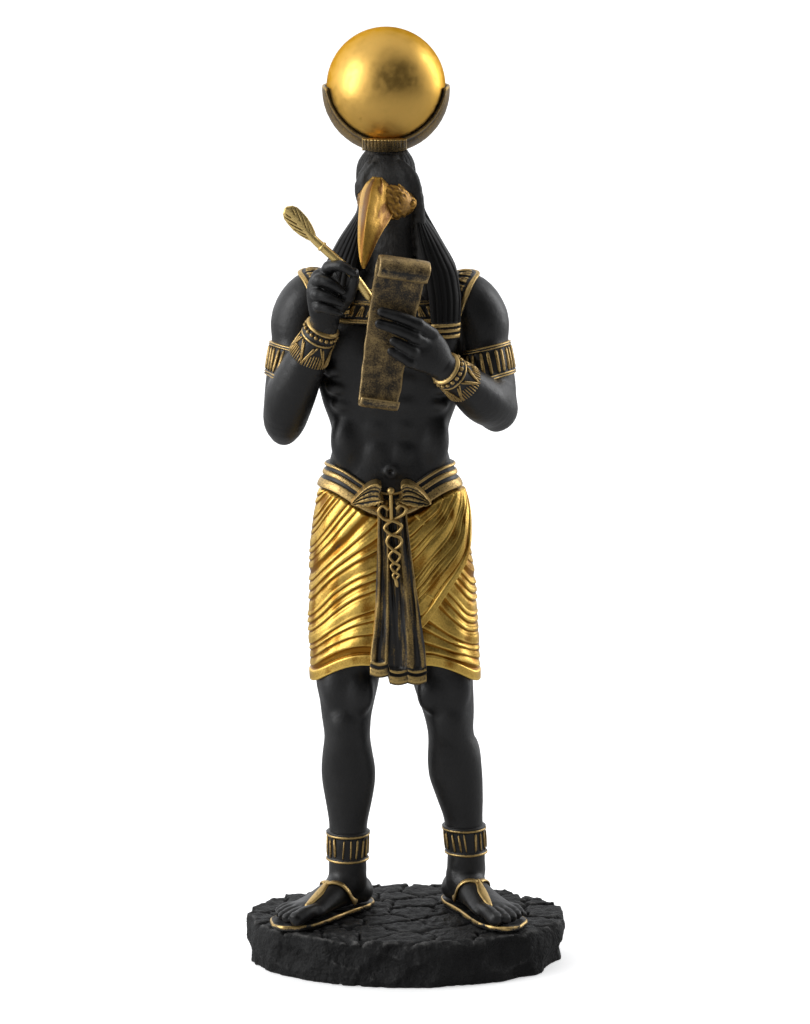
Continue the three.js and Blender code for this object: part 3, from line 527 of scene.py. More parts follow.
antiqueLook = {
    **brightLook, "black": tint(0.009, 0.007, 0.005), "gold": tint(0.54, 0.37, 0.13),
    "shade": tint(0.09, 0.052, 0.018), "goldRough": 0.4, "metal": 0.85, "cover": 0.12, "rub": 1.3,
    "patchy": 0.9, "specks": 0.9, "toneLow": -0.3, "toneHigh": 0.35, "soften": 0.5, "deepen": 0.0,
}
paleLook = {
    **brightLook, "gold": tint(0.9, 0.66, 0.25), "shade": tint(0.16, 0.09, 0.025), "goldRough": 0.3,
    "toneHigh": 0.0, "metal": 0.85,
}
lappetLook = {**trimLook, "black": tint(0.009, 0.0088, 0.0085), "blackRough": 0.6, "specular": 0.16}
crescentLook = {**antiqueLook, "cover": 0.35, "gold": tint(0.5, 0.33, 0.11)}
staffLook = {
    **trimLook, "gold": tint(0.6, 0.41, 0.15), "shade": tint(0.12, 0.07, 0.024), "cover": 0.06, "rub": 1.8,
}
sandalLook = {**trimLook, "cover": 0.2, "patchy": 1.3, "specks": 1.2, "broad": 3.0}
scrollLook = {
    **antiqueLook, "gold": tint(0.56, 0.4, 0.18), "shade": tint(0.11, 0.07, 0.032), "patchy": 1.2,
    "specks": 1.1, "cover": 0.3, "rub": 1.5, "soften": 0.5, "broad": 3.6,
}

blackResin = paintedResin("black_resin", blackLook)
hairResin = paintedResin("hair_resin", hairLook)
browResin = paintedResin("brow_resin", browLook)
rockResin = paintedResin("rock_resin", rockLook)
brightGold = paintedResin("bright_gold", brightLook)
diskGold = paintedResin("disk_gold", diskLook)
beakGold = paintedResin("beak_gold", beakLook)
cheekGold = paintedResin("cheek_gold", cheekLook)
trimGold = paintedResin("trim_gold", trimLook)
lappetGold = paintedResin("lappet_gold", lappetLook)
antiqueGold = paintedResin("antique_gold", antiqueLook)
crescentGold = paintedResin("crescent_gold", crescentLook)
staffGold = paintedResin("staff_gold", staffLook)
sandalGold = paintedResin("sandal_gold", sandalLook)
scrollGold = paintedResin("scroll_gold", scrollLook)
paleGold = paintedResin("pale_gold", paleLook)
loneGold = paintedResin("lone_gold", {**trimLook, "painted": False, "cover": 0.4})
print("finishes ready")


# A small shape set again and again: one point each, with its turn and its size.
def repeatShape(name, places, turns, sizes, shape, material):
    seeds = bpy.data.meshes.new(name + "_points")
    seeds.from_pydata([tuple((np.array(p) + (0, 0, soleLevel)) / 1000) for p in places], [], [])
    for label, values in (("turn", turns), ("grow", np.asarray(sizes, float) / 1000)):
        layer = seeds.attributes.new(label, "FLOAT_VECTOR", "POINT")
        layer.data.foreach_set("vector", np.asarray(values, np.float32).ravel())
    piece = addObject(name, seeds)
    tree = bpy.data.node_groups.new(name, "GeometryNodeTree")
    tree.interface.new_socket("Geometry", in_out="INPUT", socket_type="NodeSocketGeometry")
    roundness = tree.interface.new_socket("Roundness", in_out="INPUT", socket_type="NodeSocketInt")
    finish = tree.interface.new_socket("Finish", in_out="INPUT", socket_type="NodeSocketMaterial")
    tree.interface.new_socket("Geometry", in_out="OUTPUT", socket_type="NodeSocketGeometry")
    given = addNode(tree, "NodeGroupInput")
    level = given.outputs["Roundness"]
    if shape == "bar":
        block = addNode(tree, "GeometryNodeMeshCube", {"Size": (1, 1, 1)}).outputs[0]
        rounding = {"Mesh": block, "Level": level, "Edge Crease": 0.75}
        solid = addNode(tree, "GeometryNodeSubdivisionSurface", rounding).outputs[0]
    else:
        solid = addNode(tree, "GeometryNodeMeshIcoSphere", {"Radius": 0.5, "Subdivisions": level}).outputs[0]
    turn, grow = [addNode(tree, "GeometryNodeInputNamedAttribute", {"Name": label},
                          data_type="FLOAT_VECTOR").outputs["Attribute"] for label in ("turn", "grow")]
    rotation = addNode(tree, "FunctionNodeEulerToRotation", {0: turn}).outputs[0]
    setting = {"Points": given.outputs["Geometry"], "Instance": solid, "Rotation": rotation, "Scale": grow}
    shapes = addNode(tree, "GeometryNodeInstanceOnPoints", setting).outputs[0]
    for kind in ("GeometryNodeRealizeInstances", "GeometryNodeSetShadeSmooth"):
        shapes = addNode(tree, kind, {"Geometry": shapes}).outputs[0]
    dressing = {"Geometry": shapes, "Material": given.outputs["Finish"]}
    dressed = addNode(tree, "GeometryNodeSetMaterial", dressing).outputs[0]
    addNode(tree, "NodeGroupOutput", {"Geometry": dressed})
    modifier = piece.modifiers.new("Repeat", "NODES")
    modifier.node_group = tree
    modifier[roundness.identifier] = 1
    modifier[finish.identifier] = material
    bpy.context.view_layer.update()
    seen = piece.evaluated_get(bpy.context.evaluated_depsgraph_get())
    mesh = bpy.data.meshes.new_from_object(seen)
    piece.modifiers.remove(modifier)
    piece.data = mesh
    mesh.name = name
    if not mesh.materials:
        mesh.materials.append(material)
    triangleCounts[name] = sum(len(face.vertices) - 2 for face in mesh.polygons)
    return settlePiece(piece)


# Turn that lays a shape's own up along one way and its own front along another.
def turnTo(up, front):
    up = unit(up)
    side = unit(np.cross(up, front))
    ahead = np.cross(side, up)
    return Matrix((side, -ahead, up)).transposed().to_euler()


# Trunk: height, half width, depth in front, depth behind. Muscles are balls: place and radii, mirrored.
trunk = {
    "rows": [
        (138, 20.6, 12, 12), (151.6, 19.9, 11.4, 11), (155.4, 18.8, 11, 10.4), (159.7, 18.4, 10.8, 10),
        (165, 19.4, 11.3, 10.3), (171.3, 21.8, 12.4, 11), (180, 23.8, 13.6, 11.5), (188, 25.4, 14.6, 11.7),
        (196, 26.6, 14, 11.6), (203, 27.4, 12.4, 11), (208.4, 26, 10, 9.6), (211.6, 19, 8.4, 8.6),
        (216, 10, 7.2, 7.8),
    ],
    "step": 0.8,
    "muscles": [
        ((10.6, -8, 193.4), (11.4, 5.4, 8.6), 2.4), ((4.6, -8.4, 181.4), (4.4, 3.8, 3.9), 1.4),
        ((4.5, -7.4, 173.4), (4.3, 3.6, 3.8), 1.4), ((4.4, -6.2, 165.4), (4.2, 3.4, 3.8), 1.4),
        ((4.2, -5.8, 157), (4, 3.3, 4.2), 1.6), ((14.2, -3.6, 160), (5, 5.2, 9.5), 2.6),
        ((17.6, -6.4, 184), (4.4, 3.6, 2.6), 1.6), ((16.6, -6, 178), (4.2, 3.4, 2.5), 1.6),
        ((15.2, -5.4, 172.4), (3.8, 3.2, 2.4), 1.6), ((10, 8.4, 198), (7.6, 5, 9), 2.4),
        ((12.6, 7, 180), (8, 5.4, 13), 3), ((5.4, 9.2, 160), (3.8, 3.4, 12), 2.2),
    ],
    "navel": (-5.2, 150.8), "waist": 140.2, "box": ([-52, -36, 136], [46, 22, 220]),
    "front": [(-11, 153), (-10.6, 160), (-12, 170), (-13.4, 180), (-14.6, 190)],
    "spine": [(13.6, 150), (13, 160), (13.2, 172), (13.8, 186), (14, 200)],
}


def sculptTrunk():
    body = Clay(*trunk["box"], trunk["step"])
    body.levels([(z, bodyX, bodyY, wide, front, back) for z, wide, front, back in trunk["rows"]])
    for (x, y, z), radii, blend in trunk["muscles"]:
        for side in (-1, 1):
            body.ball((bodyX + side * x, y, z), radii, blend)
    for key, radius, blend in (("front", 1.1, 2.2), ("spine", 1.2, 3)):
        body.limb([(bodyX, y, z, radius) for y, z in trunk[key]], blend, cut=True)
    x, z = trunk["navel"]
    depth = bodyY - softRows([(row[0], row[2]) for row in trunk["rows"]], z)[0]
    body.ball((x, depth - 0.1, z), (2.2, 1.0, 2.0), 1.0)
    body.ball((x, depth - 1.1, z), (0.95, 1.7, 1.05), 0.6, cut=True)
    return body


# Arms from the shoulder to the wrist: x, y, z, radius across, radius in depth.
arms = {
    "right": {
        "upper": [
            (-28.6, 3.4, 209.6, 4.4, 5.4), (-31.6, 3.4, 205.8, 8.2, 9.4), (-34.2, 3, 199.6, 9.6, 10.2),
            (-35.4, 2.6, 192, 8.4, 9.4), (-37, 2, 184, 8.2, 8.8), (-38.6, 0.8, 174, 7.8, 8.2),
            (-40, -0.4, 166.4, 6.4, 7), (-40.2, -0.8, 163, 4, 4.6),
        ],
        "fore": [
            (-40, -0.6, 162.6, 4.6, 5), (-39.4, -2.6, 167.6, 7, 7.4), (-37.2, -7, 176.4, 7.9, 7.7),
            (-33.6, -11.6, 185.4, 7, 6.8), (-30, -15.4, 193, 5.4, 5.4), (-26.6, -18.8, 201, 4.8, 4),
        ],
        "muscles": [
            ((-36.4, -2.8, 184), (6, 5.2, 9.5), 2), ((-36.6, 7, 187), (5.6, 4.6, 10), 2),
            ((-38.4, 3.2, 196), (5, 7, 8.6), 2), ((-40.4, 4, 165.4), (3.2, 3.4, 4), 1.6),
            ((-41.2, -5.6, 174), (3.8, 4.6, 8), 2),
        ],
        "armlet": (3.2, 4.48), "bracelet": (3.5, 4.96),
    },
    "left": {
        "upper": [
            (17.4, 3.4, 209, 4.4, 5.4), (20.4, 3.4, 205.2, 8.2, 9.4), (23, 3, 199.2, 9.6, 10.2),
            (24.2, 2.4, 192, 8.4, 9.4), (26, 1.6, 184, 8.2, 8.8), (27.6, 0.4, 176, 7.8, 8.2),
            (28.8, -1, 169.4, 6.2, 6.8), (28.8, -1.4, 166.4, 4, 4.4),
        ],
        "fore": [
            (30.6, -0.6, 168.4, 4.4, 4.8), (28.8, -3, 170.6, 6.8, 7), (24.8, -9, 174.4, 7.7, 7.7),
            (20.4, -15, 179, 6.8, 6.8), (16.2, -20, 183.4, 5.4, 5.4), (11.4, -24.8, 188.4, 4.8, 4),
        ],
        "muscles": [
            ((25.6, -3, 185), (6, 5.2, 9), 2), ((25.8, 6.8, 187), (5.6, 4.6, 10), 2),
            ((27.4, 3.2, 196), (5, 7, 8.6), 2), ((30.4, 3, 168), (3.2, 3.4, 3.8), 1.6),
            ((29, -6, 176), (4.4, 4.6, 4.6), 2),
        ],
        "armlet": (3.2, 4.55), "bracelet": (3.5, 4.9),
    },
}
forearmFacing = (0, -1, 0.6)


def sculptArms():
    clays = {}
    for side, arm in arms.items():
        clay = Clay(*trunk["box"], trunk["step"])
        clay.limb(arm["upper"], 0.8)
        clay.limb(arm["fore"], 1.6, forearmFacing)
        for place, radii, blend in arm["muscles"]:
            clay.ball(place, radii, blend)
        clays[side] = clay
    return clays


torsoClay = sculptTrunk()
armClays = sculptArms()
for armClay in armClays.values():
    torsoClay.join((slice(None),) * 3, armClay.field, 1.6)
torsoClay.trim(0.4, trunk["waist"])
addPiece("torso", [torsoClay.surface()], blackResin)
print("torso and arms sculpted")


# Hands: palm, four fingers and thumb as stations of x, y, z, radius. Nails lie near the tips.
hands = {
    "step": 0.4,
    "quill": [
        [(-27.6, -17.6, 198, 4.9, 4.2), (-26.2, -19.4, 202, 4.8, 3.7), (-26, -21.4, 207, 6, 3.8),
         (-26.6, -22.2, 213, 6, 3.6), (-26.4, -22.6, 217, 4.6, 3)],
        [(-27, -22, 215.6, 2.1), (-24.8, -25.4, 220.4, 2), (-20.8, -28.4, 221.4, 1.8),
         (-17, -29.2, 219.2, 1.3)],
        [(-28.6, -22.4, 213.6, 2.1), (-28, -26, 216.4, 2), (-24.4, -28, 215.8, 1.8),
         (-21, -27.6, 213.4, 1.3)],
        [(-29.6, -22.6, 210.4, 2), (-28.6, -26.6, 212, 1.9), (-25, -28.4, 211.2, 1.7),
         (-21.4, -27.6, 209.4, 1.25)],
        [(-29.2, -22.6, 206.6, 1.8), (-28, -26.2, 208, 1.7), (-24.8, -27.8, 207.4, 1.5),
         (-22, -27, 206.2, 1.15)],
        [(-22.4, -20.6, 206, 2.6), (-19, -24.4, 211, 2.2), (-17, -27, 216, 1.8), (-16.6, -28.4, 219.6, 1.25)],
    ],
    "scroll": [
        [(14, -22, 186, 4.9, 4.2), (11.4, -24.6, 188.4, 4.7, 3.7), (9, -27, 191.4, 6.2, 3.4),
         (6.4, -28.8, 195, 6.4, 3), (4.6, -29.6, 197, 5, 2.4)],
        [(8, -28, 199.4, 2.1), (3.6, -31.6, 203, 1.95), (-2.6, -32.8, 205.8, 1.85),
         (-8.0, -32.8, 207.4, 1.6)],
        [(6.6, -29.4, 196, 2.1), (2.6, -32.2, 199, 1.95), (-3.2, -33.1, 201.8, 1.85),
         (-8.8, -32.9, 203.6, 1.6)],
        [(5, -29.6, 192.4, 2), (1.8, -32.4, 194.6, 1.9), (-1.2, -33, 196.4, 1.8), (-4.2, -32.8, 198, 1.55)],
        [(4.4, -29.2, 189, 1.8), (1, -31.9, 191, 1.75), (-2, -32.6, 193, 1.65), (-5, -32.4, 194.6, 1.4)],
        [(9.4, -24.8, 194.6, 2.4), (4.6, -24.6, 198.6, 2), (-0.6, -24.8, 201.4, 1.8),
         (-4.6, -25, 202.8, 1.2)],
    ],
    "boxes": {"quill": ([-38, -34, 193], [-11, -12, 226]), "scroll": ([-14, -37, 180], [21, -16, 213])},
}


def sculptHand(name):
    palm, *fingers = hands[name]
    low, high = hands["boxes"][name]
    clay = Clay(low, high, hands["step"])
    clay.limb(palm, 0.8, (0.55, -1, 0.2))
    for finger in fingers:
        clay.limb(finger, 0.55, (0, -1, 0.3))
        knuckle, tip = np.array(finger[1]), np.array(finger[-1])
        clay.ball(knuckle[:3] + (0, -0.3, 0.1), knuckle[3] * 1.06, 0.7)
        way = unit(tip[:3] - np.array(finger[-2])[:3])
        face = unit(np.cross(np.cross(way, (0, -1, 0.15)), way))
        side = np.cross(way, face)
        nail = tip[:3] + face * tip[3] * 0.86 + way * 0.1
        clay.ball(nail, (1.5, tip[3] * 0.66, 0.42), 0.22, turn=(way, side, face))
    return clay


for name in ("quill", "scroll"):
    addPiece(name + "_hand", [sculptHand(name).surface()], blackResin, rounds=12)
print("hands sculpted")


# Legs: height, x, y, half width, depth in front, depth behind.
legs = {
    "step": 0.75, "box": ([-34, -16, 15.4], [32, 20, 100]), "ankle": 16.4,
    "right": [
        (98, -18.2, 2.2, 11.4, 10.8, 11), (90, -18.8, 2, 11.2, 10.8, 11.2),
        (77.5, -19.7, 1.6, 10.3, 10.4, 10.8), (72, -19.7, 1.2, 9, 9.6, 9.6), (67, -20, 0.6, 8.2, 9.2, 8.2),
        (59.8, -19.7, 0.4, 7.4, 9.2, 7.2), (54.7, -19.7, 0.8, 8.2, 8, 8.4), (47.9, -19.4, 1.6, 9, 7.4, 10),
        (43.1, -19.3, 1.8, 8.7, 7, 9.8), (36.3, -19.3, 2, 7.5, 6.6, 8.4), (30, -19.5, 2, 6.3, 6, 6.8),
        (17, -19.8, 1.6, 6, 5.6, 6.2), (9, -19.8, 1.4, 6.4, 6, 6.2),
    ],
    "left": [
        (98, 9.2, 2.2, 10.8, 10.6, 10.4), (90, 10.6, 2.6, 11, 10.8, 10.8), (77.2, 11.8, 3, 9.9, 10.4, 10.8),
        (72, 12.8, 2.8, 9.2, 9.6, 9.6), (67, 13.8, 2.4, 8.3, 9.2, 8.2), (61, 14.3, 2.2, 7.4, 9.2, 7.2),
        (57, 15, 2.6, 8, 8, 8.4), (51, 15.6, 3.4, 8.9, 7.4, 10), (45, 16.1, 3.8, 8.9, 7, 9.8),
        (37, 17.6, 4.4, 7.6, 6.6, 8.4), (31, 18.6, 4.8, 6.4, 6, 6.8), (18, 19.7, 5, 6, 5.6, 6.2),
        (9, 19.7, 5, 6.4, 6, 6.2),
    ],
    "muscles": {
        "right": [
            ((-20, -5.4, 66), (4.4, 3.6, 5.4), 2.6), ((-15.6, -6.2, 76), (4.6, 4, 7), 2.2),
            ((-23.2, -4.4, 78), (4.4, 4, 8), 2.2), ((-15.6, 6.4, 48), (4.4, 5, 9), 2.2),
            ((-23.8, 6.2, 50), (4, 4.8, 8), 2.2),
        ],
        "left": [
            ((14, -3.4, 67), (4.4, 3.6, 5.4), 2.6), ((7.8, -4.8, 76), (4.6, 4, 7), 2.2),
            ((16.4, -3.8, 78), (4.4, 4, 8), 2.2), ((12.4, 8.4, 49), (4.4, 5, 9), 2.2),
            ((20.2, 8.4, 51), (4, 4.8, 8), 2.2),
        ],
    },
}


def sculptLegs():
    clay = Clay(*legs["box"], legs["step"])
    for side in ("right", "left"):
        clay.levels(legs[side], 0.8, 1.6)
        for place, radii, blend in legs["muscles"][side]:
            clay.ball(place, radii, blend)
    clay.trim(0.3, legs["ankle"])
    return clay


legClay = sculptLegs()
addPiece("legs", [legClay.surface()], blackResin)
print("legs sculpted")


# Each foot: the heel's centre, its turn out from straight ahead, and the anklet's level on the leg above.
feet = {
    "right": {"heel": (-16.6, 6), "turn": -42, "ankle": (-19.8, 1.5), "anklet": (17, 27.4)},
    "left": {"heel": (16.8, 10), "turn": 28, "ankle": (19.7, 5), "anklet": (18.4, 28.6)},
}


def footWays(foot):
    turn = math.radians(foot["turn"])
    out = np.array([math.cos(turn), math.sin(turn)]) * math.copysign(1, turn)
    return np.array([math.sin(turn), -math.cos(turn)]), out


# Turns a foot's own places, along it, across it away from the other foot, and up, into the figure's.
def footPlaces(foot, own):
    own = np.asarray(own, float)
    forward, out = footWays(foot)
    flat = np.array(foot["heel"]) + own[..., :1] * forward + own[..., 1:2] * out
    return np.concatenate([flat, own[..., 2:]], -1)


def ownPlace(foot, place):
    rest = np.array(place) - foot["heel"]
    return [rest @ way for way in footWays(foot)]


# A foot on its own places. Runs give x, y, z and two radii, toes across, start, end and radius from the great
# toe out, the ankle a shift along, a share across, height and radii, and the sole along, half width and
# middle.
footShape = {
    "step": 0.45, "box": ([-9, -11, 0.8], [41, 13, 20]), "bottom": 1.9, "top": 19.6,
    "ankle": [(0, 1, 20, 6.2, 6), (-0.2, 0.9, 14, 6.3, 6.2), (-0.2, 0.7, 9, 6, 6.2)],
    "heel": ((0, 0, 5.6), (5, 4.6, 4.9)),
    "ball": [(0, 0, 5, 4.9, 4), (7, 0, 6.6, 5.2, 5), (14, 0, 5.6, 5.6, 4.3), (21, 0.3, 4.4, 6.8, 2.9),
             (27, 0.4, 3.9, 7.3, 2)],
    "instep": [(8, -1, 10, 3.6, 3), (16, -1.2, 7.2, 3.8, 3), (25, -2.2, 5.2, 3.4, 1.8)],
    "toes": [(-4.9, 26, 35.6, 2.4), (-1.1, 27, 35.8, 1.75), (2, 27, 34.6, 1.6), (4.8, 26, 32.8, 1.5),
             (7.2, 25, 30.6, 1.4)],
    "nailTurn": ((0.86, 0, -0.5), (0, 1, 0), (0.5, 0, 0.86)),
    "sole": [(-6.6, 2.8, 0), (-4.2, 5.6, 0), (1, 6.7, 0), (12, 6.6, 0.4), (20, 7.9, 0.6), (28, 9.2, 0.8),
             (34, 8.8, 0.8), (38.4, 4.6, 0.4)],
}
# A sandal: where its sole begins and ends, the sole's rim as reach, height and gold, and its straps' lines as
# along, across and half width: one leaf between the toes and one down each side.
sandal = {
    "back": -6.6, "front": 38.4, "centre": (16.0, 0.4),
    "rim": [(-1.6, 0, 0), (-0.4, 0, 0), (-0.05, 0.3, 0.1), (0.05, 0.8, 0.6), (0, 1.2, 1), (-0.15, 1.5, 1),
            (-0.45, 1.68, 0.9), (-0.8, 1.6, 0.4), (-1.2, 1.45, 0), (-3, 1.5, 0)],
    "straps": {
        "leaf": [(29, -3, 0.35), (26, -2.7, 1.2), (21, -1.9, 1.6), (17.4, -1, 1.2), (14.4, -0.4, 0.9)],
        "inner": [(15.6, -0.4, 1.1), (12.6, -3, 1.3), (9.2, -5, 1.45), (6.6, -6, 1.5), (5.6, -6.4, 1.4)],
        "outer": [(15.6, -0.4, 1.1), (12.6, 3, 1.3), (9.2, 5, 1.45), (6.6, 6, 1.5), (5.6, 6.4, 1.4)],
    },
    "strapLevel": 3.2, "strapThick": 0.6, "strapSides": 12,
}


def sculptFoot(name):
    along, aside = ownPlace(feet[name], feet[name]["ankle"])
    clay = Clay(*footShape["box"], footShape["step"])
    ankle = [(along + shift, aside * share, *rest) for shift, share, *rest in footShape["ankle"]]
    clay.limb(ankle, 1.6, (1, 0, 0))
    clay.ball(*footShape["heel"], 2.6)
    clay.limb(footShape["ball"], 2.4, (0, 0, 1))
    clay.limb(footShape["instep"], 2.6, (0, 0, 1))
    for side in (-1, 1):
        clay.ball((along - 0.6, side * 5.4 + aside * 0.5, 11.4 + side), (2.2, 0.8, 2.4), 2)
    for across, start, end, radius in footShape["toes"]:
        level = 2.1 + radius * 0.8
        toe = [(start, across * 0.92, level + 1, radius * 0.9),
               (mixTo(start, end, 0.5), across, level + 0.9, radius),
               (end - radius * 0.4, across, level, radius)]
        clay.limb(toe, 0.6, (0, 0, 1))
        nail = (end + radius * 0.15, across, level + radius * 0.72)
        clay.ball(nail, (1.15 + radius * 0.2, radius * 0.62, 0.4), 0.3, turn=footShape["nailTurn"])
    clay.trim(0.3, footShape["bottom"], footShape["top"])
    return clay


def footParts(name):
    foot = feet[name]
    clay = sculptFoot(name)
    points, faces = clay.surface()
    skinPart = (footPlaces(foot, points), faces)
    # The sandal's sole has an uneven rim, gold at its edge and black on top.
    turn = np.linspace(0, math.pi, 90)
    along = (sandal["front"] + sandal["back"]) / 2 - (sandal["front"] - sandal["back"]) / 2 * np.cos(turn)
    half, middle = softRows(footShape["sole"], along, 0.8)
    half = half * np.clip(np.sin(turn), 0, 1) ** 0.4
    edge = np.concatenate([joined(along, middle + half), joined(along, middle - half)[::-1]])
    flat = np.column_stack([edge, np.zeros(len(edge))])
    wave = 0.25 * wobble(flat, 9, 5)
    rub = np.clip(1.15 + 0.4 * wobble(flat, 6, 6), 0, 1)
    way = unit(edge - np.array(sandal["centre"]))
    rings = []
    for reach, up, colour in sandal["rim"]:
        place = edge + way * (reach + wave[:, None] * 0.6)
        rings.append(np.column_stack([place, up + (wave * 0.5 if up > 1 else 0 * wave)]))
    solePoints, soleFaces = skin(np.array(rings))
    solePaint = np.concatenate([colour * rub for reach, up, colour in sandal["rim"]] + [np.zeros(2)])
    sole = (footPlaces(foot, solePoints), soleFaces, solePaint)
    straps = []
    angle = fullTurn(sandal["strapSides"])
    for label, line in sandal["straps"].items():
        fine = through([(a, b, 0, w) for a, b, w in line], 10)
        fall = np.zeros(len(fine)) if label == "leaf" else np.linspace(0, 1, len(fine))
        starts = joined(fine[:, 0], fine[:, 1] * (1 - 0.92 * fall), sandal["strapLevel"])
        sideways = np.sign(fine[:, 1]) * fall ** 2 * 3.2
        ways = unit(joined(0, sideways, 1.02 - 0.98 * fall ** 2))
        centres = starts + ways * (exitReach(clay, starts, ways, 16) + 0.05)[:, None]
        padded = [np.pad(line, 3, mode="edge") for line in centres.T]
        centres = np.column_stack([np.convolve(line, np.ones(7) / 7, "valid") for line in padded])
        across = unit(np.cross(unit(np.gradient(centres, axis=0)), ways))
        rings = centres[:, None] + (across[:, None] * np.cos(angle)[:, None] * fine[:, 3, None, None]
                                    + ways[:, None] * np.sin(angle)[:, None] * sandal["strapThick"])
        points, faces = skin(rings)
        straps.append((footPlaces(foot, points), faces))
    return skinPart, sole, straps


footSkins, soles, strapParts = [], [], []
for name in feet:
    skinPart, sole, straps = footParts(name)
    footSkins.append(skinPart)
    soles.append(sole)
    strapParts += straps
addPiece("feet", footSkins, blackResin, rounds=12)
addPiece("sandal_soles", soles, sandalGold, rounds=6)
addPiece("sandal_straps", strapParts, sandalGold, rounds=6)
print("feet and sandals made")


# Kilt: height, half width, depth in front, depth behind; and where its middle stands at each height.
kilt = {
    "hem": 79.4, "top": 150, "columns": 360, "rows": 214, "squareness": 0.92, "hemRise": 7.5,
    "gathers": 50, "pleats": 22, "plainHem": 3.4, "tuck": 4.6, "inside": -1.8,
    "outline": [
        (79.4, 27.4, 14.4, 15.4), (83, 27.6, 14.6, 15.6), (98.8, 27.5, 14.4, 16), (106.9, 27.2, 14.3, 16.2),
        (115.3, 26.6, 14.2, 16.4), (125.4, 25.9, 14, 16.2), (133, 25, 13.8, 15.6), (138.7, 24, 13.5, 14.8),
        (144.4, 22.4, 12.8, 13.2), (150, 20.8, 12, 11.8),
    ],
    "middle": [(79.4, -3.9), (106.9, -4.9), (133, -5.6), (150, -5.5)],
}
# The belt's gold lines give their share of its height and their half width.
belt = {
    "level": 144, "height": 8, "dip": 7.8, "lines": [(0.93, 0.06), (0.62, 0.1), (0.2, 0.17)],
    "columns": 260, "levels": 46, "inside": -2.6, "ground": 0.85, "proud": 0.85,
}


def fromFront(angle):
    return np.abs(np.arctan2(np.cos(angle), -np.sin(angle)))


def frontness(angle):
    return 1 - np.clip((fromFront(angle) - 0.3) / 1.9, 0, 1)


# How far the pleats are drawn up to the sash: they stay level round the back and steepen in front.
def drawnUp(angle):
    away = np.where(fromFront(angle) < math.pi / 2, np.sin(fromFront(angle)), 1)
    return 1 - away


def hemAt(angle):
    return kilt["hem"] + kilt["hemRise"] * smoothStep((frontness(angle) - 0.45) / 0.55)


def beltDip(angle):
    return belt["dip"] * np.maximum(np.cos(fromFront(angle) * 1.12), 0) ** 4.2


def kiltTopAt(angle):
    return belt["level"] + belt["height"] * 0.42 - beltDip(angle)


# 1 where the cloth goes in under the belt and 0 below it.
def underBelt(angle, z):
    return smoothStep(z - kiltTopAt(angle) + kilt["tuck"])


def kiltPlaces(angle, z, lift):
    wide, front, back = softRows(kilt["outline"], z, 2.0)
    middle = softRows(kilt["middle"], z, 2.0)[0]
    x, y = outline(middle, bodyY, wide + lift, front + lift, back + lift, angle, kilt["squareness"])
    return joined(x, y, z)


# A pleat laps over the next one down: its lower edge stands out and it thins upwards. Widths vary.
def uneven(phase):
    return phase + 0.22 * np.sin(phase * 1.9 + 1) + 0.12 * np.sin(phase * 3.7)


def pleatLift(phase, sharp=0.12):
    p = phase - np.floor(phase)
    return np.where(p < sharp, smoothStep(p / sharp), 1 - np.maximum((p - sharp) / (1 - sharp), 0) ** 1.1)


# A thin dark line where each pleat's lower edge laps over the one below: a painted shadow line.
def pleatShadowLine(phase):
    p = phase - np.floor(phase)
    return hump(np.minimum(p + 0.03, 1.03 - p), 0.03, 0.07)


def makeKilt():
    columns, rows = kilt["columns"], kilt["rows"]
    angle = fullTurn(columns)[None, :] + np.zeros((rows + 1, 1))
    low, high = hemAt(angle), kiltTopAt(angle)
    z = low + (high - low) * np.linspace(0, 1, rows + 1)[:, None]
    around = joined(22 * np.cos(angle), 16 * np.sin(angle), z * 0.7)
    seam = smoothStep(np.minimum(angle, 2 * math.pi - angle) / 0.6)
    drift = 0.3 * wobble(joined(angle * 9, z * 0.4, z * 0), 14, 3) * seam
    full = kilt["top"] - low + kilt["gathers"] * drawnUp(angle)
    phase = uneven(kilt["pleats"] * (z - low) / full + drift)
    flatter = 1 - 0.4 * smoothStep((np.abs(np.cos(angle)) - 0.7) / 0.28)
    lift = 0.1 + (0.72 + 0.28 * wobble(around, 13, 51)) * pleatLift(phase) * flatter
    lift = lift + 0.05 * np.sin(phase * 2 * math.pi * 3 + 1) * smoothStep((z - low - 8) / 6)
    lift = lift + 0.2 * wobble(around, 9, 52) * smoothStep((z - low - 5) / 4)
    plain = 1 - smoothStep((z - low - kilt["plainHem"]) / 0.8)
    lift = mixTo(lift, 0.75, plain) - 0.7 * hump(z - low, kilt["plainHem"] + 0.4, 0.4)
    # Paint drops along each pleat's lower edge, a painted shadow line, and in random darker patches.
    shadedTone = 1 - 0.5 * pleatShadowLine(phase) * (1 - plain) + 0.2 * np.minimum(wobble(around, 6, 54), 0)
    turnedIn = ((2.2, kilt["inside"]), (0, -1.6), (0, 0.2))
    rings = [kiltPlaces(angle[:1], low[:1] + up, out) for up, out in turnedIn]
    rings.append(kiltPlaces(angle, z, mixTo(lift, -0.6, underBelt(angle, z))))
    points, faces = skin(np.concatenate(rings))
    return points, faces, np.concatenate([np.ones(3 * columns), shadedTone.ravel()])


addPiece("kilt", [makeKilt()], brightGold, rounds=8)

# Flap that wraps over the left hip. Its pleats run from the sash up to the belt; the last is its edge.
flap = {
    "run": [(0, 0), (0.107, 0.068), (0.29, 0.281), (0.542, 0.508), (0.69, 0.702), (0.86, 0.868), (1, 1)],
    "starts": (138.5, 96.5), "firstAngle": -83, "ends": (-50, 25), "pleats": 8, "plain": 0.1,
    "columns": 110, "rows": 200,
}


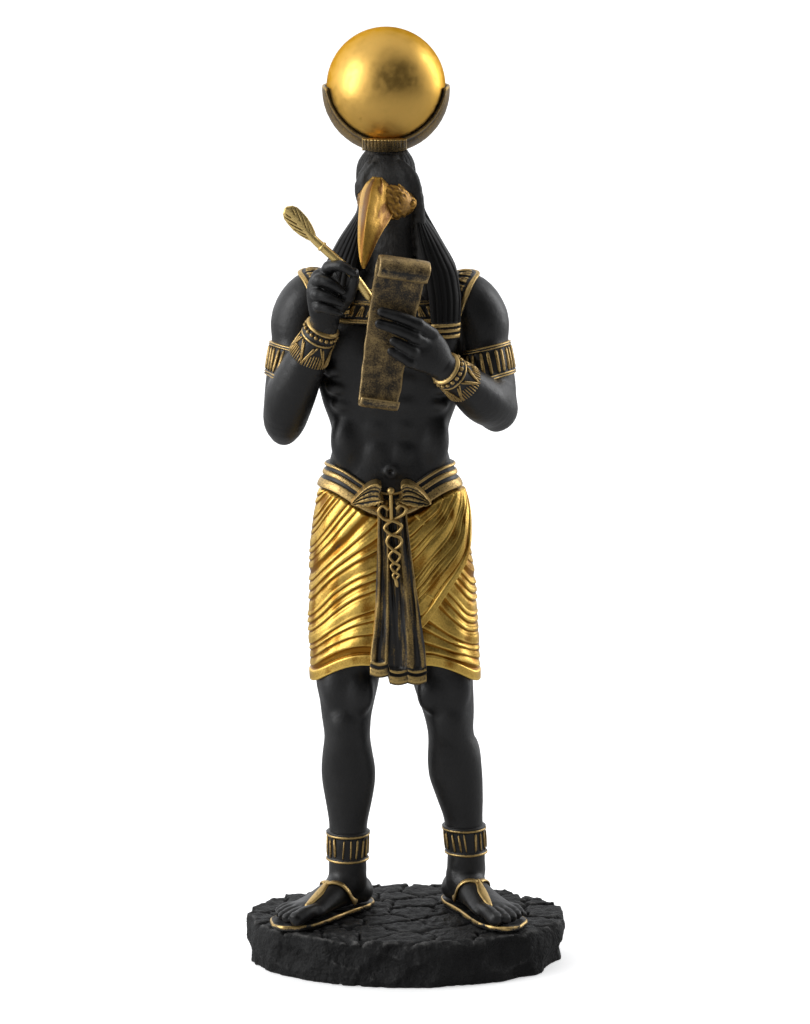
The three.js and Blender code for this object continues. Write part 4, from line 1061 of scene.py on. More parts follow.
def makeFlap():
    run = through([(a, z, 0) for a, z in flap["run"]], 20)
    u, v = shareGrid(flap["columns"], flap["rows"])
    across, upward = [np.interp(u, np.linspace(0, 1, len(run)), run[:, k]) for k in (0, 1)]
    lastAngle = mixTo(*flap["ends"], v ** 0.8)
    angle = np.radians(mixTo(flap["firstAngle"], lastAngle, across))
    start = mixTo(*flap["starts"], v)
    z = start + (kiltTopAt(np.radians(lastAngle)) - start) * upward
    z = np.minimum(z, kiltTopAt(angle))
    ground = 1 - flap["plain"]
    drift = 0.1 * wobble(joined(u * 16, v * 26, v * u), 9, 8)
    phase = uneven(v / ground * flap["pleats"] + drift)
    around = joined(u * 30, v * 40, u * v)
    relief = (0.75 + 0.3 * wobble(around, 14, 53)) * pleatLift(-phase, 0.14) + 0.2 * wobble(around, 9, 55)
    relief = relief + 0.05 * np.sin(phase * 2 * math.pi * 3 + u * 2)
    # Painted shadow lines under each pleat's lower edge, and random darker patches.
    shadedTone = 1 - 0.5 * pleatShadowLine(phase) * (v < ground) + 0.2 * np.minimum(wobble(around, 6, 56), 0)
    relief = np.where(v > ground, 0.7 + 0.3 * smoothStep((v - ground) / 0.03), relief)
    relief = relief - 0.8 * hump(v, ground, 0.008)
    near = smoothStep((1 - v) / 0.02 + 0.25)
    outer = kiltPlaces(angle, z, mixTo(0.95 + relief * near, -0.5, underBelt(angle, z)))
    return (*plate(outer, kiltPlaces(angle, z, kilt["inside"])), shadedTone)


addPiece("kilt_flap", [makeFlap()], brightGold, rounds=8)
print("kilt and flap made")



def makeBelt():
    angle = fullTurn(belt["columns"])[None, :]
    share = np.concatenate([[0.0, 0.0], np.linspace(0.0, 1.0, belt["levels"]), [1.0, 1.0]])[:, None]
    reach = np.full(share.shape, belt["ground"])
    paint = np.zeros(share.shape)
    for middle, half in belt["lines"]:
        line = smoothStep((half - np.abs(share - middle)) / 0.035 + 0.5)
        rounded = 1 - 0.3 * ((share - middle) / half) ** 2
        reach = np.maximum(reach, 0.75 + belt["proud"] * line * rounded)
        paint = np.maximum(paint, line)
    reach[[0, -1]] = belt["inside"]
    reach[[1, -2]] = 0.3
    z = belt["level"] + belt["height"] * share - beltDip(angle)
    trunkRow = softRows(trunk["rows"], z, 1.2)
    kiltRow = softRows(kilt["outline"], z, 1.2)
    sizes = [mixTo(a, b, smoothStep(1 - share)) + reach for a, b in zip(trunkRow, kiltRow)]
    x, y = outline(bodyX, bodyY, *sizes, angle)
    points, faces = skin(joined(x, y, z), closeRows=True)
    return points, faces, (paint + angle * 0).ravel()


addPiece("belt", [makeBelt()], trimGold, rounds=6)

# Sash in front: height, left edge, right edge. Folds are crests: share across, width, height of the roll.
sash = {
    "rows": [(81, -12.4, 6.4), (84.9, -12.1, 6.3), (90.3, -12.1, 6.3), (99.1, -10.9, 4.9),
             (108.9, -10.3, 3.7),
             (123.5, -9.8, 1.5), (138.1, -9.5, -0.2), (143, -9.6, 0)],
    "crests": [(0.06, 0.07, 1.4), (0.3, 0.06, 1.4), (0.5, 0.035, 0.6), (0.73, 0.11, 1.4), (0.95, 0.06, 1.1)],
    "plane": -13.4, "crown": 1.2, "hem": 81.6, "top": 142, "columns": 130, "levels": 130,
    "bandTop": 5.4, "bands": [(0.3, 0.5, 3.0, 0.4), (3.9, 0.3, 5.0, 0.3)],
}


def makeSash():
    u, v = shareGrid(sash["columns"], sash["levels"])
    hem = sash["hem"] + 2.4 * smoothStep((0.36 - u) / 0.05) - 0.7 * np.abs(np.sin(u * 3 * math.pi))
    z = hem + (sash["top"] - hem) * v
    left, right = softRows(sash["rows"], z, 2.4)
    lift = np.zeros_like(z)
    for middle, width, height in sash["crests"]:
        crest = middle + 0.02 * np.sin(z / 9 + middle * 20)
        lift = np.maximum(lift, height * hump(u, crest, width))
    lift = lift + 0.16 * wobble(joined(u * 60, z * 0.3, 0), 6, 62)
    split = smoothStep((114 - z) / 24)
    lift = lift - 0.8 * split * hump(u, 0.47 + 0.05 * split, 0.05)
    band = z - hem
    hemBands, second = [smoothStep((band - start) / up) * (1 - smoothStep((band - end) / down))
                        for start, up, end, down in sash["bands"]]
    lobe = 0.35 + 0.65 * np.abs(np.sin((u * 3 + 0.02) * math.pi)) ** 0.5
    atHem = band < sash["bandTop"]
    lift = np.where(atHem, 0.5 + (1.5 * np.maximum(hemBands, second * 0.9)) * lobe, lift)
    streak = np.clip(0.42 + 0.5 * wobble(joined(u * 90, z * 0.35, 0), 9, 61), 0, 0.85) * ~atHem
    paint = np.where(atHem, np.maximum(hemBands, second) * (0.35 + 0.65 * lobe), (lift - 0.45) * 1.5)
    paint = np.maximum(np.clip(paint, 0, 1), streak)
    crownFall = sash["crown"] * (2 * u - 1) ** 2
    x = mixTo(left, right, u)
    outer = joined(x, sash["plane"] - 1.3 - lift + crownFall, z)
    inner = joined(x, sash["plane"] + 2.2 + crownFall, z)
    points, faces = plate(outer, inner)
    return points, faces, np.append(paint.ravel(), 0)


addPiece("sash", [makeSash()], antiqueGold, rounds=8)
print("belt and sash made")

# Wig: height, x, half width, depth in front, depth behind.
wig = {
    "rows": [
        (254.4, -6.6, 5.6, 4, 4.6), (253, -6.7, 7.9, 6.2, 7.4), (250.6, -6.8, 9.2, 8.2, 9.8),
        (246.4, -6.9, 9.6, 9.6, 11.6), (240, -6.1, 10, 8.6, 13.4), (234.4, -5.2, 10.7, 6, 14.2),
        (226, -5.3, 15.6, 5.6, 15), (217, -5.3, 20.8, 5.6, 15.8), (211, -5.4, 22, 4.4, 16.5),
        (200, -5.4, 21, 3, 17), (197, -5.4, 20.4, 3, 15.6),
    ],
    "strands": 48, "groove": 0.5, "columns": 384, "levels": 80,
}


def makeWig():
    angle = fullTurn(wig["columns"])[None, :]
    z = np.linspace(wig["rows"][-1][0], wig["rows"][0][0], wig["levels"])[:, None] + angle * 0
    x, wide, front, back = softRows(wig["rows"], z, 1.6)
    sway = 0.25 * np.sin(z / 13 + 2 * angle) + 0.5 * np.sin(3 * angle + 1) + 0.3 * np.sin(7 * angle)
    phase = wig["strands"] * angle / (2 * math.pi) + sway
    depth = wig["groove"] * smoothStep((251 - z) / 7)
    lift = depth * (np.abs(np.sin(phase * math.pi)) ** 0.6 - 0.75)
    lift = lift + 0.22 * np.sin(phase * math.pi * 0.37 + 2) * smoothStep((250 - z) / 10)
    lift = lift + 0.1 * wobble(joined(20 * np.cos(angle), 20 * np.sin(angle), z * 0.2), 2.2, 82)
    px, py = outline(x, bodyY, wide + lift, front + lift, back + lift, angle)
    return skin(joined(px, py, z))


# Lappets hang from beside the cheek to a banded end on the chest. Rows give height, inner, outer and front.
lappet = {
    "rows": [(195, 13.4, 22.6, -13.2), (200.4, 13.3, 22.8, -12.8), (208, 12.6, 23, -11.4),
             (216, 11.4, 21.8, -9.4), (226, 9.2, 16.4, -7.6), (234, 8.4, 10.6, -4.4), (240, 7.4, 8.4, -1)],
    "foot": {-1: 203, 1: 195}, "top": 240, "bands": (1.1, 2.9, 4.7), "banded": 5.2,
    "columns": 60, "levels": 120,
}


def makeLappet(side):
    u, v = shareGrid(lappet["columns"], lappet["levels"])
    foot = lappet["foot"][side]
    z = np.linspace(foot, lappet["top"], len(v))[:, None] + u * 0
    inner, outer, front = softRows(lappet["rows"], z, 1.6)
    band = 1 - smoothStep((z - foot - lappet["banded"]) / 0.4)
    lift = 1.9 * (1 - (2 * u - 1) ** 4 * 0.55)
    phase = u * 5.5 + 0.15 * np.sin(z / 9)
    strand = 0.48 * (np.abs(np.sin(phase * math.pi)) ** 0.6 - 0.6)
    lines = sum(smoothStep((0.55 - np.abs(z - (foot + up))) / 0.3 + 0.5) for up in lappet["bands"])
    lift = lift + np.where(band > 0.5, 0.5 + 0.45 * lines, strand)
    x = bodyX + side * mixTo(inner, outer, u)
    points, faces = plate(joined(x, front - lift + 3.4 * u ** 2, z), joined(x, front + 4 + 3.4 * u ** 2, z))
    paint = np.clip(lines, 0, 1) * (z < foot + 5.8)
    return points, faces, np.append(paint.ravel(), 0)


addPiece("wig", [makeWig()], hairResin, rounds=6)
addPiece("lappets", [makeLappet(-1), makeLappet(1)], lappetGold, rounds=6)


# Head under the wig. Runs, each with its blend, are the throat, two folds by one brow, and a tress by the
# other one.
head = {
    "step": 0.55, "box": ([-20, -16, 196], [8, 14, 256]),
    "levels": [
        (226, -5.4, 0.6, 5.4, 6.4, 7), (233, -5.6, -0.4, 7.4, 7.8, 8), (238, -6, -1.2, 8.6, 9.4, 9),
        (243, -6.4, -1.6, 9, 10.4, 9), (248, -6.7, -1.2, 8.4, 9.6, 8.6), (251.6, -6.8, -0.4, 6.2, 7, 7),
        (253.6, -6.7, 0.2, 3.6, 4.2, 4.2),
    ],
    "runs": [
        ([(-5.6, -2.4, 199, 9, 8), (-5.6, -2.2, 212, 8.6, 7), (-5.4, -1.6, 224, 7.8, 7),
          (-5.6, -1, 234, 7, 7)], 2),
        ([(-12.6, -4, 250.4, 0.6), (-15, -5.2, 245.6, 1.4), (-15.2, -5, 240.4, 1.4),
          (-14, -4.4, 235.6, 0.6)], 1.8),
        ([(-11, -7, 251, 0.5), (-13.6, -7.4, 247.4, 1.1), (-13.8, -7, 243.4, 1), (-13, -6.4, 240, 0.4)], 1.2),
        ([(-1.6, -5, 251.4, 0.6), (1.8, -6, 247, 1.6), (3.3, -5.6, 240, 1.9), (4.2, -4.6, 228, 2),
          (5.2, -5.4, 216, 2.1), (5.8, -7, 206, 2)], 1.6),
    ],
}


def sculptHead():
    clay = Clay(*head["box"], head["step"])
    clay.levels(head["levels"], 1, 1.4)
    for stations, blend in head["runs"]:
        clay.limb(stations, blend)
    parts, x, y, z = clay.whole()
    tress = joined(0.85 * z - 0.5 * x, 0.3 * (0.5 * z + 0.85 * x), 0.5 * y)
    clay.roughen(parts, 0.13 * wobble(tress, 2.4, 81, 9))
    return clay


addPiece("head", [sculptHead().surface()], browResin, rounds=8)

# Bill: height, left edge, ridge, right edge, front and back. Its right face is broad and its left one narrow.
bill = {
    "rows": [
        (247.2, -10.9, -9.8, -6.4, -11.5, -7), (245.6, -13, -10.8, -4, -14.6, -5.5),
        (243.4, -14.4, -11.5, -2.9, -17.6, -4.5), (240.6, -15.1, -12, -2.8, -20.4, -4),
        (238, -15.4, -12.6, -3.4, -22.6, -4), (235.6, -15.6, -13, -4.6, -24.4, -6),
        (234, -15.65, -13.15, -5.8, -25.3, -13), (232, -15.7, -13.4, -7.6, -26.3, -18.5),
        (229, -15.7, -13.7, -9.4, -27.5, -22.6), (225.4, -15.4, -14, -11.1, -28.5, -25.8),
        (222.4, -14.9, -14.1, -12.5, -28.9, -27.7), (220.6, -14.1, -13.9, -13.5, -28.9, -28.5),
    ],
    "top": 247.2, "tip": 220.6, "levels": 120, "frontColumns": 60, "backColumns": 30, "hatch": 0.15,
}


def makeBill():
    z = np.linspace(bill["top"], bill["tip"], bill["levels"])[:, None]
    left, ridge, right, front, back = softRows(bill["rows"], z, 0.5)
    t = np.linspace(0, 1, bill["frontColumns"], endpoint=False)[None, :]
    half = np.abs(2 * t - 1)
    side = mixTo(front, back, 0.42)
    deep = mixTo(front, back, 0.42 + 0.26 * smoothStep((z - 228) / 13))
    x = np.where(t < 0.5, mixTo(left, ridge, 1 - half ** 1.15), mixTo(right, ridge, 1 - half ** 1.15))
    roof = np.where(t < 0.5, 1 - half ** 1.9, 1 - half ** 1.7)
    fall = (bill["top"] - z) / (bill["top"] - bill["tip"])
    strokes = wobble(joined(half * 26, z * 1.1 + half * 16, 0), 5, 71)
    hatch = bill["hatch"] * strokes * smoothStep((t - 0.6) / 0.08) * smoothStep((1.02 - t) / 0.05)
    hatch = hatch * smoothStep((0.6 - fall) / 0.3)
    y = mixTo(np.where(t < 0.5, side, deep), front, roof) + hatch * np.minimum(right - left, 6) / 6
    under = np.linspace(0, math.pi, bill["backColumns"], endpoint=False)[None, :]
    backX = mixTo(left, right, 0.5) + (right - left) / 2 * np.cos(under)
    backY = mixTo(mixTo(deep, side, under / math.pi), back, np.sin(under) ** 0.8)
    rings = joined(np.concatenate([x, backX], 1), np.concatenate([y, backY], 1), z)
    # Painted shade: a dark band down the left face, darker towards the far side of the right face and in the
    # hatch grooves. The back takes less gold.
    paintedShade = 0.72 * hump(t, 0.3, 0.11) + 0.3 * smoothStep((t - 0.74) / 0.2) - 3 * np.minimum(hatch, 0)
    paint = np.concatenate([1 - paintedShade, np.full(backX.shape, 0.7)], 1)
    points, faces = skin(rings)
    return points, faces, paint


# Bare skin round the eye, wrinkled, on both sides of the turned head. The far side moves in by its shift.
cheek = {
    "step": 0.34, "box": ([-22, -18, 229], [7, 6, 248]), "eye": (0.9, -7.6, 238.5), "out": (1.4, -8.5, 238.5),
    "run": [(-7.4, -9.6, 239.8, 5.6, 5.4), (-4.6, -9.6, 239.3, 5.9, 5.2), (-1.8, -7.8, 238.5, 4.7, 3.6),
            (0.2, -6.8, 238.3, 3.4, 2.6), (1.2, -6, 238.3, 2.2, 1.8)],
    "ring": (1.75, 1.75, 2), "socket": (1.1, 1.1, 1.3), "ball": (0.9, 0.9, 1), "shift": (2.6, 1.6),
    "folds": 0.17,
}
headTurn = math.radians(-16.5)
headMiddle = np.array((-6.2, 0.0))


def mirrored(place):
    ahead = np.array((math.sin(headTurn), -math.cos(headTurn)))
    aside = np.array((math.cos(headTurn), math.sin(headTurn)))
    rest = np.array(place[:2]) - headMiddle
    flat = headMiddle + ahead * (rest @ ahead) - aside * (rest @ aside)
    return (flat[0], flat[1], *place[2:])


def sculptCheek(side):
    def own(place):
        if side > 0:
            return place
        flat = mirrored(place)
        return (flat[0] + cheek["shift"][0], flat[1] + cheek["shift"][1], *flat[2:])

    clay = Clay(*cheek["box"], cheek["step"])
    clay.limb([own(place) for place in cheek["run"]], 0.8, (0.5, -1, 0))
    eye = np.array(own(cheek["eye"]))
    out = unit(np.array(own(cheek["out"])) - eye)
    for key, reach, blend in (("ring", 0.9, 0.6), ("socket", 2.4, 0.3), ("ball", 1.7, 0.2)):
        clay.ball(eye + out * reach, cheek[key], blend, cut=key == "socket")
    parts, x, y, z = clay.whole()
    away = np.sqrt((x - eye[0]) ** 2 + (z - eye[2]) ** 2)
    around = np.arctan2(z - eye[2], (eye[0] - x) * side)
    folds = 0.7 * np.sin(around * 11 + 1.4 * np.sin(away * 1.3)) + 0 * y
    folds = folds + wobble(joined(x, y, z), 2, 91)
    clay.roughen(parts, cheek["folds"] * folds * smoothStep((away - 2.4) / 1.5))
    return clay.surface()


addPiece("bill", [makeBill()], beakGold, rounds=8)
addPiece("cheeks", [sculptCheek(-1), sculptCheek(1)], cheekGold, rounds=8)
print("head, bill and wig made")

# Broad collar: from its inner edge at the neck to its outer edge over the shoulders.
collar = {
    "inner": {"x": -5.6, "wide": 10, "front": 8.4, "back": 9, "z": 217},
    "outer": {"x": -5.8, "wide": 28.4, "front": 15.6, "back": 11.4},
    "drop": {"side": 5.6, "front": 17, "back": 13}, "drops": 46, "columns": 440, "rows": 42,
    "lines": ((0.965, 0.035), (0.67, 0.014), (0.62, 0.014), (0.4, 0.02)),
}


def collarPlaces(angle, share, lift):
    inner, outer, drop = collar["inner"], collar["outer"], collar["drop"]
    forward, behind = np.maximum(-np.sin(angle), 0), np.maximum(np.sin(angle), 0)
    around = smoothStep((1 - np.abs(np.cos(angle))) / 0.24)
    fall = drop["side"] + (np.where(forward > 0, drop["front"], drop["back"]) - drop["side"]) * around
    x0, wide, front, back = [mixTo(inner[key], outer[key], share) for key in ("x", "wide", "front", "back")]
    x, y = outline(x0, bodyY, wide + lift * 0.3, front + lift * forward, back + lift * behind, angle)
    return joined(x, y, inner["z"] - fall * share + lift * (1 - 0.5 * forward))


# A thin closed band: all rings of its outer face and every eighth one of its inner face.
def sleeve(outer, inner, paint):
    points, faces = skin(np.concatenate([outer, inner[::-8]]), closeRows=True)
    return points, faces, np.append(paint.ravel(), 0)


def makeCollar():
    angle = fullTurn(collar["columns"])[None, :]
    share = 1 - np.linspace(1, 0, collar["rows"])[:, None] ** 1.5
    line = np.zeros(share.shape)
    for middle, half in collar["lines"]:
        line = np.maximum(line, smoothStep((half - np.abs(share - middle)) / 0.014 + 0.5))
    ground = settle(collarPlaces(angle, share, 0.1), torsoClay, 0.7)
    outerRing = ground[-1]
    walked = np.cumsum(np.linalg.norm(outerRing - np.roll(outerRing, 1, 0), axis=1))
    u = np.mod(walked / walked[-1] * collar["drops"], 1)[None, :] - 0.5
    t = (share - 0.69) / 0.215
    bell = smoothStep((0.2 + 0.2 * np.clip(t, 0, 1) ** 1.3 - np.abs(u)) / 0.08 + 0.5)
    bell = bell * smoothStep(t / 0.12) * smoothStep((1 - t) / 0.1)
    slot = smoothStep((0.05 - np.abs(np.abs(u) - 0.1)) / 0.04 + 0.5) * smoothStep((t - 0.3) / 0.1)
    bell = bell * (1 - 0.4 * slot)
    normal = unit(np.cross(np.roll(ground, -1, 1) - np.roll(ground, 1, 1), np.gradient(ground, axis=0)))
    normal = normal * np.sign(normal[20, collar["columns"] // 4, 2])
    paint = np.maximum(line, bell)
    return sleeve(ground + normal * (0.2 + 0.55 * paint)[..., None], ground - normal * 2.2, paint)


addPiece("collar", [makeCollar()], trimGold, rounds=5)
print("collar made")


# Bands round a limb, traced on its clay. A rim is a share of the band's width and a half width. Bars and
# beads have a count, the rows that they reach, how far they are lifted, a width and a thickness.
bandRows, bandColumns = 44, 90
armlet = {
    "base": 0.35, "rims": ((0.03, 0.03), (0.11, 0.022), (0.89, 0.022), (0.97, 0.03)),
    "bars": {"count": 26, "rows": (6, 37), "lift": 0.2, "wide": 1.15, "thick": 0.9},
}
bracelet = {
    "base": 0.3, "rims": ((0.95, 0.045), (0.66, 0.03)),
    "beads": {"count": 18, "row": 35, "lift": 0.5, "size": 1.6},
    "points": {"count": 5, "rows": (3, 27), "half": 0.6, "insets": (0.0, 0.16), "lift": 0.3, "wide": 0.6,
               "thick": 0.75},
    "fringe": {"count": 48, "rows": (1, 6), "longer": 12, "lift": 0.15, "wide": 0.36, "thick": 0.6},
}
anklet = {
    "base": 0.45, "rims": ((0.06, 0.05), (0.88, 0.04), (0.97, 0.03)), "goldTo": 0.93,
    "bars": {"count": 17, "rows": (6, 36), "lift": 0.35, "wide": (0.45, 0.95), "thick": 0.7},
}
bandParts = []
barPlaces, barTurns, barSizes = [], [], []
beadPlaces, beadTurns, beadSizes = [], [], []


def turnsOf(count):
    return [k * 2 * math.pi / count for k in range(count)]


# Points on an arm's line, and the ways outwards from it.
def limbGrid(stations, start, end, facing):
    line = np.linspace(start, end, bandRows)
    table = np.array([list(s)[:3] for s in stations])
    centres = np.column_stack([np.interp(line, np.arange(len(table)), table[:, k]) for k in range(3)])
    along = unit(centres[-1] - centres[0])
    across = unit(np.cross(along, facing))
    angle = fullTurn(bandColumns)[:, None]
    ways = np.cos(angle) * across + np.sin(angle) * np.cross(across, along)
    return centres, ways


def softReach(reach):
    for turn in range(6):
        reach = (reach + np.roll(reach, 1, 1) + np.roll(reach, -1, 1)) / 3
        reach[1:-1] = (reach[2:] + reach[1:-1] + reach[:-2]) / 3
    return reach


# Adds a band and returns its starts, ways and reach. Gold covers its rims up to a share of its width.
def addBand(clay, centres, ways, far, near, look):
    starts = centres[:, None] + np.zeros((1, bandColumns, 1))
    ways = np.broadcast_to(ways, starts.shape)
    reach = softReach(exitReach(clay, starts, ways, far, near))
    share = np.linspace(0, 1, bandRows)[:, None] + np.zeros((1, bandColumns))
    rim = np.zeros_like(share)
    for middle, half in look["rims"]:
        rim = np.maximum(rim, smoothStep((half - np.abs(share - middle)) / 0.04 + 0.5))
    edge = least(smoothStep(share / 0.04), smoothStep((1 - share) / 0.04))
    lift = (look["base"] + 0.5 * rim) * edge - 0.3 * (1 - edge)
    outer, inner = [starts + ways * (reach + rise)[..., None] for rise in (lift, -1.6)]
    bandParts.append(sleeve(outer, inner, rim * (share <= look.get("goldTo", 1.0))))
    return starts, ways, reach


def surfaceAt(starts, ways, reach, row, angle):
    column = int(round(angle / (2 * math.pi) * bandColumns)) % bandColumns
    row = int(np.clip(row, 0, bandRows - 1))
    return starts[row, column] + ways[row, column] * reach[row, column], ways[row, column]


def barBetween(a, b, way, wide, thick):
    barPlaces.append((a + b) / 2 + way * 0.25)
    barTurns.append(turnTo(b - a, way))
    barSizes.append((wide, thick, np.linalg.norm(b - a)))


# A bar on a band, from one row and turn to another.
def barOn(grid, rows, turns, bars, wide):
    ends = [surfaceAt(*grid, row, turn) for row, turn in zip(rows, turns)]
    way = ends[1][1]
    barBetween(ends[0][0] + way * bars["lift"], ends[1][0] + way * bars["lift"], way, wide, bars["thick"])


def addArmlet(side):
    arm = arms[side]
    line = limbGrid(arm["upper"], *arm["armlet"], (0, -1, 0))
    grid = addBand(armClays[side], *line, 13, 3, armlet)
    bars = armlet["bars"]
    for turn in turnsOf(bars["count"]):
        barOn(grid, bars["rows"], (turn, turn), bars, bars["wide"])


# A bracelet carries beads, pairs of bars that meet in a point, one pair in the other, and a fringe.
def addBracelet(side):
    arm = arms[side]
    line = limbGrid(arm["fore"], *arm["bracelet"], forearmFacing)
    grid = addBand(armClays[side], *line, 9, 2, bracelet)
    beads, points, fringe = bracelet["beads"], bracelet["points"], bracelet["fringe"]
    wrist = arm["fore"][-1][:3] - np.array(arm["fore"][-2][:3])
    for turn in turnsOf(beads["count"]):
        place, way = surfaceAt(*grid, beads["row"], turn)
        beadPlaces.append(place + way * beads["lift"])
        beadTurns.append(turnTo(wrist, way))
        beadSizes.append([beads["size"]] * 3)
    low, high = points["rows"]
    for step in turnsOf(points["count"]):
        middle = math.pi / 2 + step
        for inset in points["insets"]:
            tip, way = surfaceAt(*grid, low + 9 * inset, middle)
            tip = tip + way * points["lift"]
            for turn in (-1, 1):
                aside = turn * (points["half"] - 1.2 * inset)
                end, endWay = surfaceAt(*grid, high - 12 * inset, middle + aside)
                end = end + endWay * points["lift"]
                barBetween(tip, end, unit(way + endWay), points["wide"], points["thick"])
    low, high = fringe["rows"]
    for turn in turnsOf(fringe["count"]):
        top = high + fringe["longer"] * abs(math.sin(2.5 * turn - 1.25 * math.pi))
        barOn(grid, (low, top), (turn, turn), fringe, fringe["wide"])


def addAnklet(side):
    z = np.linspace(*feet[side]["anklet"], bandRows)
    x, y = softRows([row[:3] for row in legs[side]], z, 1.6)
    angle = fullTurn(bandColumns)
    ways = joined(np.cos(angle), np.sin(angle), 0)
    grid = addBand(legClay, joined(x, y, z), ways, 9, 2, anklet)
    bars = anklet["bars"]
    low, high = bars["rows"]
    chance = np.random.default_rng(7 if side == "left" else 4)
    for k in range(bars["count"]):
        turn = (k + chance.uniform(-0.22, 0.22)) * 2 * math.pi / bars["count"]
        rows = low + chance.integers(0, 3), high - chance.integers(0, 3)
        turns = turn, turn + chance.uniform(-0.06, 0.06)
        barOn(grid, rows, turns, bars, chance.uniform(*bars["wide"]))


for side in ("right", "left"):
    addArmlet(side)
    addBracelet(side)
    addAnklet(side)
addPiece("arm_and_ankle_bands", bandParts, trimGold, rounds=5)
repeatShape("band_bars", barPlaces, barTurns, barSizes, "bar", loneGold)
repeatShape("bracelet_beads", beadPlaces, beadTurns, beadSizes, "bead", loneGold)
print("bands made")

# Winged staff with two entwined snakes that hangs from the belt over the sash. A snake's stations are x, z
# and how deep it lies.
staff = {
    "rod": [(-5.3, -17.6, 146, 0.6), (-5.2, -17.6, 141, 0.6), (-5.1, -16.6, 136, 0.6)],
    "knob": (-5.3, -17.8, 146.2, 1.25),
    "snakes": [
        [(-6.1, 139.9, 0), (-8, 141.1, 0.2), (-9.3, 139.1, 0), (-7.5, 136.7, 0), (-4.2, 136, 0.5),
         (-1.8, 134.4, 0), (-3.2, 132.2, -0.5), (-6, 130.8, 0), (-6.5, 128.6, 0), (-4.4, 126.4, 0.5),
         (-2.4, 124.6, 0), (-3.2, 122.6, -0.4), (-5.2, 121.2, 0), (-4.4, 119.4, 0.4), (-2.8, 118, 0),
         (-3.8, 116.4, -0.3), (-3.4, 114.4, 0)],
        [(-3.5, 140.1, 0), (-2, 141.3, 0.2), (-0.4, 140.1, 0), (-1.3, 138.2, 0), (-4.4, 136.4, -0.5),
         (-7.3, 133.9, 0), (-5.4, 131.8, 0.5), (-2.3, 130.4, 0), (-2, 128.4, 0), (-4.4, 126.2, -0.4),
         (-5.8, 124.4, 0), (-4.4, 122.4, 0.4), (-2.6, 121, 0), (-3.6, 119.2, -0.4), (-4.6, 117.8, 0),
         (-3.4, 116, 0.3), (-3.2, 114.2, 0)],
    ],
    "front": -16.4,
}


def makeStaff():
    parts = [tube(staff["rod"], 10)]
    x, y, z, radius = staff["knob"]
    turns = np.linspace(-1.5, 1.5, 9)
    rows = [(x, y, z + radius * math.sin(t), max(radius * math.cos(t), 0.05)) for t in turns]
    parts.append(tube(rows, 14, 2))
    for line in staff["snakes"]:
        count = len(line) - 1
        stations = [(x, staff["front"] - deep, z, 0.6 - 0.2 * k / count + (0.2 if k == 0 else 0))
                    for k, (x, z, deep) in enumerate(line)]
        parts.append(tube(stations, 10, 8, 1.5))
    return parts


# Edges of a wing, from its root out to its tip: distance from the staff and height.
wing = {
    "upper": [(2.5, 143.2), (3.9, 145.6), (3.1, 147.6), (4.6, 148.8), (7.2, 147.9), (10.4, 145), (13, 141.4)],
    "lower": [(2.5, 143), (3.6, 142.2), (4.8, 141.6), (6.6, 141), (8.8, 140.6), (11, 140.8), (13, 141.2)],
    "feathers": 4.5, "middle": -5.2, "front": -17, "back": -11.6, "bend": 2.4,
}


def makeWing(side):
    upper, lower = [through([(a, b, 0) for a, b in wing[key]], 14)[:, :2][None] for key in ("upper", "lower")]
    v = np.linspace(0, 1, 46)[:, None]
    u = np.linspace(0, 1, upper.shape[1])[None, :]
    edge = mixTo(lower, upper, v[..., None])
    jag = 0.35 * np.abs(np.sin((u * 6 + 0.2) * math.pi))
    jag = jag * smoothStep((0.25 - v) / 0.25) * smoothStep((1 - u) / 0.2)
    x, z = wing["middle"] + side * edge[..., 0], edge[..., 1] - jag
    rim = smoothStep((v - 0.76) / 0.08)
    feather = np.abs(np.sin((v * wing["feathers"] + 0.15 * u) * math.pi)) ** 0.5 * (1 - rim)
    lift = 0.35 + 1.15 * rim * (1 - 0.6 * ((v - 0.9) / 0.12) ** 2) + 0.75 * feather
    around = least(*[smoothStep(share + 0.2) for share in ((1 - u) / 0.05, v / 0.06, (1 - v) / 0.05)])
    bend = wing["bend"] * u ** 2
    faces = plate(joined(x, wing["front"] + bend - lift * around, z), joined(x, wing["back"] + bend, z))
    return (*faces, np.maximum(rim, 0.35 + 0.65 * smoothStep((feather - 0.5) / 0.4)))


addPiece("staff", makeStaff(), staffGold, rounds=4)
addPiece("wings", [makeWing(-1), makeWing(1)], staffGold, rounds=6)
print("staff made")

# Crown: the sun disk in its crescent, on a short post.
crown = {
    "x": -6.8, "y": 2.0, "diskRadius": 19.1, "wall": 1.4, "lift": 0.9, "drop": 0.8, "rise": 252.6,
    "depth": 0.85, "reach": 93, "dimple": (-0.42, -0.78, -0.45),
    "post": [(-4, 6.4), (-2.4, 5.9), (-1, 5.3), (0.2, 4.8), (1.4, 4.7), (2.6, 5), (3.6, 5.4)],
}
bowlRadius = crown["diskRadius"] + crown["wall"]
bowlMiddle = crown["rise"] + crown["lift"] + bowlRadius
diskMiddle = bowlMiddle + crown["drop"]


def makeDisk():
    theta = fullTurn(128)[None, :]
    phi = np.linspace(-math.pi / 2, math.pi / 2, 66)[1:-1][:, None]
    way = joined(np.cos(phi) * np.cos(theta), np.cos(phi) * np.sin(theta), np.sin(phi))
    radius = crown["diskRadius"] - 0.22 * hump(way @ unit(crown["dimple"]), 1, 0.0006)
    return skin(np.array((crown["x"], crown["y"], diskMiddle)) + way * radius[..., None])


